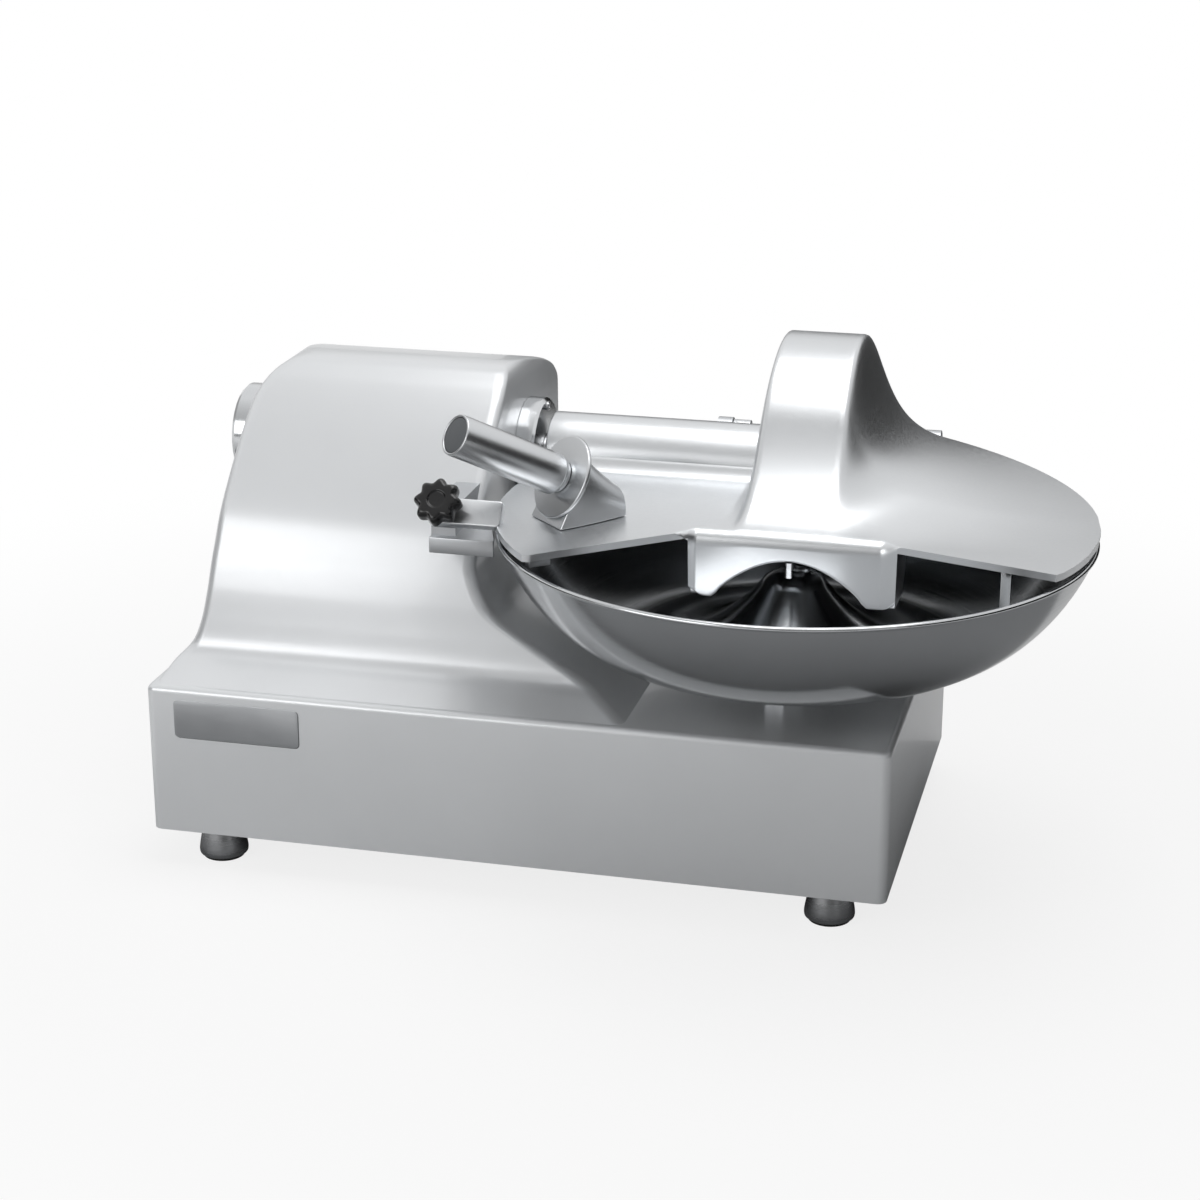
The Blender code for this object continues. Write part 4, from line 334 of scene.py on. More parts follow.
# Thermoset plastic, pressed in a polished mould: glossy black.
GLOSSY_BLACK = Finish("pressed_black_thermoset", "black_plastic", "#131314", "#0e0e0f", 0.0, 0.20, 0.04,
                      Pattern.CAST, 2.0, 0.004, 25.0, ior=1.50)
# ABS, injection moulded: satin with a spark-eroded grain.
GREEN_ABS = Finish("moulded_green_abs", "green_plastic", "#2b8a46", "#237a3b", 0.0, 0.34, 0.05,
                   Pattern.CAST, 0.8, 0.01, 20.0, ior=1.54)
RED_ABS = Finish("moulded_red_abs", "red_plastic", "#c22a25", "#ac211d", 0.0, 0.34, 0.05,
                 Pattern.CAST, 0.8, 0.01, 20.0, ior=1.54)
GREY_ABS = Finish("moulded_grey_abs", "grey_plastic", "#5d6063", "#515457", 0.0, 0.45, 0.05,
                  Pattern.CAST, 0.8, 0.015, 20.0, ior=1.54)
# Aluminium sheet, brushed lengthways and lacquered: straight strokes that hold a long highlight.
BRUSHED_SHEET = Finish("brushed_aluminium_sheet", "cast_aluminium", "#d3d5d7", "#c0c2c5", 1.0, 0.36, 0.06,
                       Pattern.BRUSHED, 1.2, 0.003, 35.0, anisotropy=0.4)

SLOT_FINISHES = {
    finish.slot: finish
    for finish in (BLASTED_ALUMINIUM, PAINTED_CASTING, POLISHED_STEEL, TURNED_STEEL, GROUND_STEEL, VARNISHED_IRON,
                   WOUND_COPPER, HONED_STEEL, CUT_BRONZE, BELT_RUBBER, GLOSSY_BLACK, GREEN_ABS, RED_ABS, GREY_ABS)
}


# Surfaces

def put(points: np.ndarray, place: Matrix) -> np.ndarray:
    """Move points from a local frame into the machine's frame: the rotation times the point, plus the place."""
    matrix = np.array(place)
    return points @ matrix[:3, :3].T + matrix[:3, 3]


def axis_frame(direction: Vector | tuple, origin: Vector | tuple) -> Matrix:
    """Return a frame whose local Z runs along a direction from an origin."""
    turn = Vector(direction).normalized().to_track_quat("Z", "Y").to_matrix().to_4x4()
    return Matrix.Translation(Vector(origin)) @ turn


def flat_frame(u_axis: Vector | tuple, v_axis: Vector | tuple, origin: Vector | tuple) -> Matrix:
    """Return a frame from two unit axes and an origin, with local Z across both."""
    u, v = Vector(u_axis), Vector(v_axis)
    turn = Matrix((u, v, u.cross(v))).transposed().to_4x4()
    return Matrix.Translation(Vector(origin)) @ turn


def eased(corners: list | np.ndarray, radius: float, steps: int = 5, closed: bool = False) -> np.ndarray:
    """Round the corners of a line.

    Each corner P becomes the curve (1-t)^2 A + 2t(1-t) P + t^2 B, where A and B lie on its two
    sides, one radius away or a little under half the shorter side.

    Args:
        corners: Points of the line, two numbers each.
        radius: How far from a corner its curve starts.
        steps: Points on each curve.
        closed: Whether the last point joins the first.

    Returns:
        The rounded line as an array of points.
    """
    points = np.asarray(corners, dtype=float)
    before, after = np.roll(points, 1, axis=0) - points, np.roll(points, -1, axis=0) - points
    if not closed:
        before[0] = 0.0
        after[-1] = 0.0
    near, far = np.linalg.norm(before, axis=1), np.linalg.norm(after, axis=1)
    cut = np.minimum(radius, 0.48 * np.minimum(near, far))[:, None]
    start = points + before / np.maximum(near, 1e-12)[:, None] * cut
    stop = points + after / np.maximum(far, 1e-12)[:, None] * cut
    t = np.linspace(0.0, 1.0, steps)[None, :, None]
    curves = (1 - t) ** 2 * start[:, None] + 2 * t * (1 - t) * points[:, None] + t ** 2 * stop[:, None]
    return curves.reshape(-1, points.shape[1])


def arc(radius: float, start: float, stop: float, steps: int, centre: tuple = (0.0, 0.0)) -> np.ndarray:
    """Return points on a circle: centre plus radius times (cos t, sin t), t in degrees from start to stop."""
    turns = np.radians(np.linspace(start, stop, steps))
    return np.stack((centre[0] + radius * np.cos(turns), centre[1] + radius * np.sin(turns)), axis=-1)


def smooth_rows(table: np.ndarray, steps: int) -> np.ndarray:
    """Fill in rows between the rows of a table with cubic curves that never overshoot.

    Between two rows each column is the Hermite cubic of its two values and two slopes. A slope
    is the harmonic mean of the steps on its two sides, and zero where they turn back.

    Args:
        table: One row for each known place.
        steps: New rows for each old one.

    Returns:
        The finer table.
    """
    rise = np.diff(table, axis=0)
    product = rise[:-1] * rise[1:]
    total = np.where(product > 0, rise[:-1] + rise[1:], 1.0)
    slopes = np.concatenate((rise[:1], np.where(product > 0, 2 * product / total, 0.0), rise[-1:]))
    t = np.linspace(0.0, 1.0, steps, endpoint=False)[None, :, None]
    a, b, m, n = table[:-1, None], table[1:, None], slopes[:-1, None], slopes[1:, None]
    rows = (a * (2 * t ** 3 - 3 * t ** 2 + 1) + m * (t ** 3 - 2 * t ** 2 + t)
            + b * (3 * t ** 2 - 2 * t ** 3) + n * (t ** 3 - t ** 2))
    return np.concatenate((rows.reshape(-1, table.shape[1]), table[-1:]))


def lifted(rings: np.ndarray, heights: np.ndarray) -> np.ndarray:
    """Give each level's flat outline its height."""
    return np.concatenate((rings, np.broadcast_to(heights[:, None, None], (*rings.shape[:2], 1))), axis=-1)


def rod(radius: float, low: float, high: float, edge: float = 0.0) -> np.ndarray:
    """Return the profile of a round bar from the axis back to the axis, with eased edges."""
    return eased([(0.0, high), (radius, high), (radius, low), (0.0, low)], edge)


def rectangle(width: float, depth: float) -> np.ndarray:
    """Return the four corners of a rectangle round its middle."""
    return np.array([(-1, -1), (1, -1), (1, 1), (-1, 1)]) * (width / 2, depth / 2)


def rounded_rectangles(left: np.ndarray, right: np.ndarray, front: np.ndarray, rear: np.ndarray,
                       radius: float, steps: int = 8) -> np.ndarray:
    """Return one rounded rectangle for each level.

    A point is a corner's centre plus the radius times (cos t, sin t), with t a quarter turn a corner.

    Args:
        left: Least X of each level.
        right: Greatest X of each level.
        front: Least Y of each level.
        rear: Greatest Y of each level.
        radius: Corner radius.
        steps: Points on each corner.

    Returns:
        An array of levels by points by two.
    """
    turns = np.linspace(-0.25, 0.0, steps)[None, :] * TURN + np.arange(4)[:, None] * TURN / 4
    x = np.stack((right - radius, right - radius, left + radius, left + radius), axis=-1)
    y = np.stack((front + radius, rear - radius, rear - radius, front + radius), axis=-1)
    points = np.stack((x[..., None] + radius * np.cos(turns), y[..., None] + radius * np.sin(turns)), axis=-1)
    return points.reshape(len(left), -1, 2)


class Shape:
    """Vertices and faces gathered from grids, made into one mesh."""

    def __init__(self) -> None:
        """Start with nothing."""
        self.points: list[np.ndarray] = []
        self.faces: list[list[int]] = []
        self.count = 0

    def grid(self, points: np.ndarray, wrap: bool = False) -> "Shape":
        """Add a grid of quads.

        Args:
            points: An array of rows by columns by three.
            wrap: Whether the last column joins the first.

        Returns:
            The shape itself.
        """
        rows, cols = points.shape[:2]
        i, j = np.meshgrid(np.arange(rows - 1), np.arange(cols if wrap else cols - 1), indexing="ij")
        k = (j + 1) % cols
        quads = np.stack((i * cols + j, i * cols + k, (i + 1) * cols + k, (i + 1) * cols + j), axis=-1)
        self.faces += (quads.reshape(-1, 4) + self.count).tolist()
        self.points.append(points.reshape(-1, 3))
        self.count += rows * cols
        return self

    def cap(self, ring: np.ndarray) -> "Shape":
        """Close a flat ring of points with one face, and return the shape itself."""
        self.faces.append(list(range(self.count, self.count + len(ring))))
        self.points.append(ring)
        self.count += len(ring)
        return self

    def join(self, other: "Shape") -> "Shape":
        """Take in another shape's points and faces, and return the shape itself."""
        self.faces += [[i + self.count for i in face] for face in other.faces]
        self.points += other.points
        self.count += other.count
        return self

    def build(self, name: str, sharp: float = 35.0, outward: bool = True) -> bpy.types.Object:
        """Make the object at the origin, with doubles merged and faces pointing outwards.

        Args:
            name: Name of the object and its mesh.
            sharp: Angle in degrees past which an edge stays crisp.
            outward: Whether the faces are turned outwards first.

        Returns:
            The new object, linked to the scene.
        """
        mesh = bpy.data.meshes.new(name)
        mesh.from_pydata(np.concatenate(self.points).tolist(), [], self.faces)
        shape = bmesh.new()
        shape.from_mesh(mesh)
        bmesh.ops.remove_doubles(shape, verts=shape.verts, dist=2e-6)
        if outward:
            bmesh.ops.recalc_face_normals(shape, faces=shape.faces)
        shape.to_mesh(mesh)
        shape.free()
        shade(mesh, sharp)
        obj = bpy.data.objects.new(name, mesh)
        bpy.context.scene.collection.objects.link(obj)
        return obj


def shade(mesh: bpy.types.Mesh, sharp: float) -> None:
    """Shade a mesh smooth up to an angle in degrees, and crisp past it."""
    mesh.polygons.foreach_set("use_smooth", np.ones(len(mesh.polygons), dtype=bool))
    mesh.set_sharp_from_angle(angle=math.radians(sharp))
    mesh.update()


def revolve(profile: np.ndarray, place: Matrix, steps: int = 96) -> Shape:
    """Carry a profile once round the local Z axis: (r cos t, r sin t, h).

    Args:
        profile: Points of (radius, height), from the axis back to the axis or closed on itself.
        place: Frame of the axis.
        steps: Points round the axis.

    Returns:
        The shape.
    """
    turns = np.linspace(0.0, TURN, steps, endpoint=False)[None, :]
    radius, height = profile[:, 0:1], profile[:, 1:2]
    points = np.stack((radius * np.cos(turns), radius * np.sin(turns), height + 0 * turns), axis=-1)
    return Shape().grid(put(points, place), wrap=True)


def slab(outline: np.ndarray, thickness: float, edge: float, place: Matrix, steps: int = 4) -> Shape:
    """Give a flat outline a thickness with rounded edges.

    Along each edge the outline moves in by e(1 - sin a) at the depth e(1 - cos a), with a from
    nothing to a quarter turn and e the edge's radius.

    Args:
        outline: Closed line of (u, v) points.
        thickness: Whole thickness along local Z, half to each side.
        edge: Radius of the rounded edges.
        place: Frame of the outline.
        steps: Levels on each rounded edge.

    Returns:
        The shape.
    """
    points = outline[np.linalg.norm(outline - np.roll(outline, 1, axis=0), axis=1) > 1e-7]
    after = np.roll(points, -1, axis=0)
    if np.sum(points[:, 0] * after[:, 1] - after[:, 0] * points[:, 1]) < 0:
        points = points[::-1]
        after = np.roll(points, -1, axis=0)
    side = (after - points) / np.linalg.norm(after - points, axis=1)[:, None]
    normal = np.stack((side[:, 1], -side[:, 0]), axis=-1)
    both = normal + np.roll(normal, 1, axis=0)
    out = both / np.maximum(1 + np.sum(normal * np.roll(normal, 1, axis=0), axis=1), 0.4)[:, None]
    turns = np.linspace(0.0, TURN / 4, steps)
    inset, depth = edge * (1 - np.sin(turns)), edge * (1 - np.cos(turns)) - thickness / 2
    inset, depth = np.concatenate((inset, inset[::-1])), np.concatenate((depth, -depth[::-1]))
    rings = points[None] - inset[:, None, None] * out[None]
    solid = put(lifted(rings, depth), place)
    return Shape().grid(solid, wrap=True).cap(solid[0][::-1]).cap(solid[-1])


def brick(low: tuple, high: tuple, edge: float, corner: float = 0.0) -> Shape:
    """Return a box between two corners, with rounded top and bottom edges and rounded uprights."""
    low, high = np.array(low), np.array(high)
    outline = eased(rectangle(*(high - low)[:2]), max(corner, edge), closed=True)
    return slab(outline, high[2] - low[2], edge, Matrix.Translation(Vector(((low + high) / 2).tolist())))


def cut_out(obj: bpy.types.Object, shapes: list[Shape], sharp: float = 35.0) -> None:
    """Cut shapes out of a closed piece and keep the result as its mesh.

    Args:
        obj: The piece.
        shapes: Closed shapes to take away.
        sharp: Angle in degrees past which an edge stays crisp.
    """
    cutters = [shape.build(f"cutter_{i}") for i, shape in enumerate(shapes)]
    for cutter in cutters:
        modifier = obj.modifiers.new("opening", "BOOLEAN")
        modifier.operation = "DIFFERENCE"
        modifier.solver = "EXACT"
        modifier.object = cutter
    bpy.context.view_layer.update()
    mesh = bpy.data.meshes.new_from_object(obj.evaluated_get(bpy.context.evaluated_depsgraph_get()))
    obj.modifiers.clear()
    obj.data = mesh
    mesh.name = obj.name
    shade(mesh, sharp)
    for cutter in cutters:
        bpy.data.objects.remove(cutter)


# Sub-assemblies

@dataclass(frozen=True)
class Layout:
    """Places that several sub-assemblies share, in metres."""

    left: float = -0.340
    right: float = 0.213
    front: float = -0.110
    rear: float = 0.2205
    foot: float = 0.029
    base_top: float = 0.144
    bowl_x: float = 0.1245
    bowl_y: float = -0.005
    shaft_y: float = 0.102
    shaft_z: float = 0.282
    rim: float = 0.269
    lid_top: float = 0.279
    lid_radius: float = 0.2155
    shaft_offset: float = 0.107

    def on_shaft(self, x: float) -> Matrix:
        """Return a frame on the knife shaft's line, with local Z along +X."""
        return axis_frame((1.0, 0.0, 0.0), (x, self.shaft_y, self.shaft_z))

    def on_bowl(self) -> Matrix:
        """Return a frame on the bowl's axis, at the height of the floor."""
        return Matrix.Translation((self.bowl_x, self.bowl_y, 0.0))


@dataclass
class SubAssembly:
    """Steps that every sub-assembly uses to place its pieces."""

    at: Layout = Layout()

    def piece(self, name: str, shape: Shape, finish: Finish, body: str, node: str = "",
              place: Matrix | None = None, sharp: float = 35.0, bevel: float = 0.0) -> bpy.types.Object:
        """Make a piece, dress it and let it ride on its body.

        Args:
            name: Name of the piece.
            shape: Its surface.
            finish: Its material.
            body: Moving body that carries it.
            node: Solid that it stands for, if any.
            place: Frame of the finish's marks.
            sharp: Angle in degrees past which an edge stays crisp.
            bevel: Width of a rounding on its crisp edges.

        Returns:
            The object.
        """
        obj = shape.build(name, sharp)
        self.dress(obj, finish, body, node, place, bevel)
        return obj

    def dress(self, obj: bpy.types.Object, finish: Finish, body: str, node: str = "",
              place: Matrix | None = None, bevel: float = 0.0) -> None:
        """Give an object its finish, its body and the solid that it stands for, with Args as for piece()."""
        obj.data.materials.clear()
        obj.data.materials.append(finish.make(place, f"_{obj.name}" if place else ""))
        if bevel:
            modifier = obj.modifiers.new("rounded_edges", "BEVEL")
            modifier.width = bevel
            modifier.segments = 2
            modifier.limit_method = "ANGLE"
            modifier.angle_limit = math.radians(50)
            modifier.harden_normals = True
        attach(obj, body)
        if node:
            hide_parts(node)
        log.info("%s: %d faces on %s", obj.name, len(obj.data.polygons), body)

    def refined(self, node: str, finish: Finish, place: Matrix | None = None, bevel: float = 0.0,
                sharp: float = 35.0) -> bpy.types.Object:
        """Stand a smooth-shaded, merged copy in for a solid whose shape is right.

        Args:
            node: Name of the solid. The others are as for piece().

        Returns:
            The copy.
        """
        solid = frame["nodes"][node]
        mesh = solid.data
        points = np.empty(len(mesh.vertices) * 3)
        mesh.vertices.foreach_get("co", points)
        corners = np.empty(len(mesh.loops), dtype=np.int32)
        mesh.loops.foreach_get("vertex_index", corners)
        shape = Shape()
        shape.points.append(points.reshape(-1, 3))
        shape.faces = corners.reshape(-1, 3).tolist()
        shape.count = len(mesh.vertices)
        obj = shape.build(f"{node}_skin", sharp, outward=False)
        self.dress(obj, finish, body_of(solid)[0], node, place, bevel)
        return obj


@dataclass
class Housing(SubAssembly):
    """The one-piece casting: a base box with a leaning tower that flares into its top."""

    wall: float = 0.0035
    base_corner: float = 0.007
    base_edge: float = 0.005
    tower_height: float = 0.2125
    left_setback: float = 0.072
    front_setback: float = 0.174
    rear_step: float = 0.0085
    rear_setback: float = 0.126
    face: float = -0.104
    face_share: float = 0.067
    ramp_reach: float = 0.134
    tower_corner: float = 0.009
    spigot_radius: float = 0.0363
    cap_radius: float = 0.0383
    cap_depth: float = 0.055
    bore_reach: float = 0.030
    post_radius: float = 0.0322
    well_margin: float = 0.002
    inlet_margin: float = 0.0057
    cut_reach: float = 0.010
    cut_corner: float = 0.002
    sides: tuple = (
        (0.000, 0.083, 1.000, 0.034, 0.000), (0.042, 0.145, 0.843, 0.155, 0.048), (0.066, 0.208, 0.754, 0.218, 0.063),
        (0.099, 0.278, 0.642, 0.247, 0.071), (0.184, 0.361, 0.396, 0.270, 0.079), (0.254, 0.396, 0.216, 0.287, 0.079),
        (0.287, 0.410, 0.164, 0.296, 0.079), (0.375, 0.432, 0.090, 0.329, 0.079), (0.430, 0.446, 0.067, 0.357, 0.079),
        (0.522, 0.465, 0.067, 0.408, 0.079), (0.664, 0.500, 0.067, 0.529, 0.079), (0.805, 0.542, 0.067, 0.672, 0.087),
        (0.866, 0.569, 0.067, 0.744, 0.175), (0.913, 0.618, 0.067, 0.805, 0.349), (0.951, 0.694, 0.060, 0.862, 0.571),
        (0.974, 0.778, 0.049, 0.911, 0.746), (0.991, 0.875, 0.030, 0.954, 0.905), (1.000, 1.000, 0.000, 1.000, 1.000),
    )

    def tower_levels(self, inset: float) -> np.ndarray:
        """Return the tower's level outlines, from its foot to its top.

        Each row of sides holds a height and how far each side has moved from foot to top, as
        shares. The rows between are smooth cubics of these.

        Args:
            inset: How far inside the outer skin the outlines lie.

        Returns:
            An array of levels by points by three.
        """
        rows = smooth_rows(np.array(self.sides), 6)
        rise, left, right, front, rear = rows.T
        rings = rounded_rectangles(
            self.at.left + left * self.left_setback + inset,
            self.face + (right - self.face_share) * self.ramp_reach - inset,
            self.at.front + front * self.front_setback + inset,
            self.at.rear - self.rear_step - rear * self.rear_setback - inset,
            self.tower_corner,
        )
        return lifted(rings, self.at.base_top + rise * (self.tower_height - inset))

    def base_levels(self, inset: float) -> np.ndarray:
        """Return the base's level outlines: straight walls, then an edge that turns over by a quarter circle."""
        turns = np.linspace(0.0, TURN / 4, 9)
        edge = self.base_edge
        inward = np.concatenate(([0.0], edge * (1 - np.cos(turns)))) + inset
        height = np.concatenate(([self.at.foot], self.at.base_top - inset - edge * (1 - np.sin(turns))))
        rings = rounded_rectangles(self.at.left + inward, self.at.right - inward, self.at.front + inward,
                                   self.at.rear - inward, self.base_corner)
        return lifted(rings, height)

    @staticmethod
    def cup(outer: np.ndarray, inner: np.ndarray) -> Shape:
        """Join an outer and an inner skin, both open below, into one closed wall."""
        shape = Shape().grid(outer, wrap=True).grid(inner, wrap=True)
        shape.grid(np.stack((outer[0], inner[0])), wrap=True)
        return shape.cap(outer[-1]).cap(inner[-1][::-1])

    def base_openings(self) -> list[Shape]:
        """Return the base's openings: the tower's well, the windows of switches and inlet, and the post's hole."""
        reach, corner = self.cut_reach, self.cut_corner
        boxes = np.array((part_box("motor_stand"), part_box("drive_belt")))
        low, high = boxes[:, 0].min(axis=0) - self.well_margin, boxes[:, 1].max(axis=0) + self.well_margin
        low[2], high[2] = self.at.base_top - 2 * reach, self.at.base_top + 2 * reach
        well = brick(low, high, 0.0, corner)
        low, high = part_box("contact_block")
        switches = brick((self.at.left - reach, *low[1:]), (self.at.left + reach, *high[1:]), 0.0, corner)
        low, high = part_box("power_inlet")
        margin = self.inlet_margin
        inlet = brick((low[0] + margin, self.at.rear - reach, low[2] + margin),
                      (high[0] - margin, self.at.rear + reach, high[2] - margin), 0.0, corner / 4)
        place = Matrix.Translation((self.at.bowl_x, self.at.bowl_y, self.at.base_top))
        return [well, switches, inlet, revolve(rod(self.post_radius, -2 * reach, 2 * reach), place)]

    def build(self) -> None:
        """Make the base and the tower, with the openings that the solids have."""
        base = self.cup(self.base_levels(0.0), self.base_levels(self.wall)).build("base_casting")
        cut_out(base, self.base_openings())
        self.dress(base, PAINTED_CASTING, "machine_frame", "housing")
        tower = self.cup(self.tower_levels(0.0), self.tower_levels(self.wall)).build("tower_casting", 40.0)
        reach = self.bore_reach
        bore = revolve(rod(self.spigot_radius, -reach, reach), self.at.on_shaft(self.face))
        rear = revolve(rod(self.cap_radius, -2 * reach, reach), self.at.on_shaft(self.at.left + self.cap_depth))
        cut_out(tower, [bore, rear], 40.0)
        self.dress(tower, PAINTED_CASTING, "machine_frame")


@dataclass
class Feet(SubAssembly):
    """Four turned feet with rubber pads under them."""

    radius: float = 0.0185
    inset_x: float = 0.044
    inset_y: float = 0.030
    pad: float = 0.002
    pad_share: float = 0.84
    shares: tuple = ((0.0, 1.0), (0.74, 1.0), (0.80, 0.84), (0.90, 0.58), (0.97, 0.34), (1.0, 0.20), (0.98, 0.10),
                     (0.88, 0.075), (0.0, 0.075))

    def build(self) -> None:
        """Make each foot as a profile of shares of radius and height, eased and turned."""
        height = self.at.foot - GAP
        profile = eased(np.array(self.shares) * (self.radius, height), 1.5 * MM)
        pad = rod(self.pad_share * self.radius, 0.0, self.pad + MM, 0.6 * MM)
        for end, x in (("left", self.at.left + self.inset_x), ("right", self.at.right - self.inset_x)):
            for side, y in (("front", self.at.front + self.inset_y), ("rear", self.at.rear - self.inset_y)):
                place = Matrix.Translation((x, y, 0.0))
                self.piece(f"{side}_{end}_foot_turned", revolve(profile, place, 64), TURNED_STEEL, "machine_frame",
                           f"{side}_{end}_foot", place)
                self.piece(f"{side}_{end}_foot_pad", revolve(pad, place, 48), BELT_RUBBER, "machine_frame")


@dataclass
class Bowl(SubAssembly):
    """The spun bowl: an oval ring trough round a soft dome, with a rolled lip."""

    wall: float = 0.0025
    lip: float = 0.0018
    floor: float = 0.1825
    dome: float = 0.055
    dome_cap: float = 0.022
    dome_power: float = 2.6
    round_share: float = 1.119
    steps: int = 176

    def height(self, radius: np.ndarray) -> np.ndarray:
        """Return the inner height at each radius.

        The trough is an ellipse, floor + s(1 - sqrt(1 - d^2)), with d the distance from the
        trough's middle as a share of its round, and s set so that it reaches the rim. Inside
        the cap's radius the dome is its top less a power of the radius.

        Args:
            radius: Distances from the bowl's axis.

        Returns:
            Heights above the floor of the room.
        """
        half = self.half_width()
        span = self.round_share * half
        depth = self.at.rim - self.floor
        steep = depth / (1 - math.sqrt(1 - (half / span) ** 2))
        reach = np.abs(np.maximum(radius, self.dome_cap) - self.at.shaft_offset) / span
        trough = self.floor + steep * (1 - np.sqrt(1 - reach ** 2))
        top = self.floor + self.dome
        cap = top - (top - trough) * (radius / self.dome_cap) ** self.dome_power
        return np.where(radius >= self.dome_cap, trough, cap)

    def half_width(self) -> float:
        """Return half the width of the trough, from its middle to the rim."""
        return self.at.lid_radius - self.at.shaft_offset - self.wall / 2 - self.lip

    def build(self) -> None:
        """Make the bowl as one closed profile turned round its axis."""
        offset, half = self.at.shaft_offset, self.half_width()
        radius = np.concatenate((
            np.linspace(0.0, self.dome_cap, 14, endpoint=False),
            np.linspace(self.dome_cap, offset, 34, endpoint=False),
            offset + half * np.sin(np.linspace(0.0, TURN / 4, 38)),
        ))
        inner = np.stack((radius, self.height(radius)), axis=-1)
        slope = np.gradient(inner, axis=0)
        slope /= np.linalg.norm(slope, axis=1)[:, None]
        outer = inner + self.wall * np.stack((slope[:, 1], -slope[:, 0]), axis=-1)
        outer[0] = (0.0, inner[0, 1] - self.wall)
        outer[:, 0] = np.maximum(outer[:, 0], 0.0)
        rolled = arc(self.lip, 140, -60, 14, (offset + half + self.wall / 2, self.at.rim - self.lip))
        profile = np.concatenate((inner[:-1], rolled, outer[-2::-1]))
        place = self.at.on_bowl()
        self.piece("bowl_spun", revolve(profile, place, self.steps), SPUN_STEEL, "bowl_drive", "bowl", place, 50.0)
        self.refined("bowl_spindle", POLISHED_STEEL, place, sharp=40.0)


@dataclass
class Lid(SubAssembly):
    """The sculpted lid casting: plate, knife hump, fairing, tunnel, skirts, knuckles and lock lug."""

    wall: float = 0.005
    axis_rise: float = 0.003
    hump_radius: float = 0.103
    hump_half: float = 0.029
    draft: float = 0.008
    fillet: float = 0.011
    hump_front: float = 0.055
    hump_join: float = 0.022
    front_power: float = 1.85
    fairing: float = 0.020
    fairing_power: float = 1.5
    tunnel_radius: float = 0.031
    tunnel_fillet: float = 0.012
    tunnel_end: float = 0.034
    tunnel_reach: float = 0.207
    tunnel_clear: float = 0.110
    tunnel_wall: float = 0.0065
    crease: float = 0.0018
    roll_radius: float = 0.009
    roll_fade: float = 0.014
    left_corner_deg: float = -139.55
    right_corner_deg: float = -25.8
    left_join: float = -0.062
    right_join: float = 0.070
    skirt_left: float = 0.066
    skirt_right: float = 0.081
    skirt_wall: float = 0.005
    skirt_depth: float = 0.044
    skirt_return: float = 0.050
    arch_left: float = 0.047
    arch_right: float = 0.057
    arch_rise: float = 0.027
    arch_foot: float = 0.041
    pin_inset: float = 0.0105
    left_post: float = 0.094
    right_post: float = 0.072
    post_half: float = 0.006
    knuckle_half: float = 0.007
    bore: float = 0.0043
    barrel: float = 0.0075
    arm_half: float = 0.005
    arm_reach: float = 0.034
    arm_end: float = 0.0055
    arm_low: float = 0.004
    arm_high: float = 0.0034

    def front_edge(self, x: np.ndarray) -> np.ndarray:
        """Return the plate's front edge: the rim's circle, two straight runs and the hump's front."""
        radius = self.at.lid_radius
        corners = np.radians((self.left_corner_deg, self.right_corner_deg))
        left, right = radius * np.stack((np.cos(corners), np.sin(corners)), axis=-1)
        rim = -np.sqrt(np.maximum(radius ** 2 - x ** 2, 0.0))
        runs = np.interp(x, (left[0], self.left_join, self.right_join, right[0]),
                         (left[1], -self.hump_front, -self.hump_front, right[1]))
        return np.where((x <= left[0]) | (x >= right[0]), rim, runs)

    def drum_rise(self, y: np.ndarray) -> np.ndarray:
        """Return the drum's height: the shaft's rise plus sqrt(R^2 - d^2), with d the distance from the shaft."""
        reach = y - self.at.shaft_offset
        inside = np.abs(reach) < self.hump_radius
        return np.where(inside, self.axis_rise + np.sqrt(np.maximum(self.hump_radius ** 2 - reach ** 2, 0.0)), 0.0)

    def hump_rise(self, y: np.ndarray) -> np.ndarray:
        """Return the hump's height: the drum, and in front of it a hollow sweep, a power of the distance."""
        share = np.maximum((y + self.hump_front) / (self.hump_join + self.hump_front), 0.0)
        sweep = self.drum_rise(np.array(self.hump_join)) * share ** self.front_power
        return np.where(y >= self.hump_join, self.drum_rise(y), sweep)

    def side_share(self, x: np.ndarray) -> np.ndarray:
        """Return how much of the hump stands at each X.

        All of it over the drum. On the left it falls by a steep draft, 1 - 0.08 s - 0.8 s^2,
        and a fillet, 0.12 (1 - s)^2. On the right the fairing is (1 - s^2) / (1 + (d/f)^1.5).

        Args:
            x: Distances from the bowl's axis along the shaft.

        Returns:
            Shares from 0 to 1.
        """
        reach = np.maximum(np.abs(x) - self.hump_half, 0.0)
        end = np.maximum(1 - (reach / (self.at.lid_radius - self.hump_half)) ** 2, 0.0)
        right = end / (1 + (reach / self.fairing) ** self.fairing_power)
        steep = reach / self.draft
        foot = np.minimum((reach - self.draft) / self.fillet, 1.0)
        left = np.where(reach <= self.draft, 1 - 0.08 * steep - 0.80 * steep ** 2, 0.12 * (1 - foot) ** 2)
        return np.where(x > 0, right, left)

    def tunnel_rise(self, x: np.ndarray, y: np.ndarray) -> np.ndarray:
        """Return the skin's height at the tunnel: just under its arch, with a squared fall at each foot."""
        reach = np.abs(y - self.at.shaft_offset)
        side = self.tunnel_radius - MM
        under = self.tunnel_radius - 0.5 * MM
        edge = self.axis_rise + math.sqrt(self.tunnel_radius ** 2 - side ** 2)
        top = self.axis_rise + np.sqrt(np.maximum(under ** 2 - reach ** 2, 0.0))
        foot = edge * np.maximum(1 - (reach - side) / self.tunnel_fillet, 0.0) ** 2
        return np.where(x <= 0, np.where(reach <= side, top, foot), 0.0)

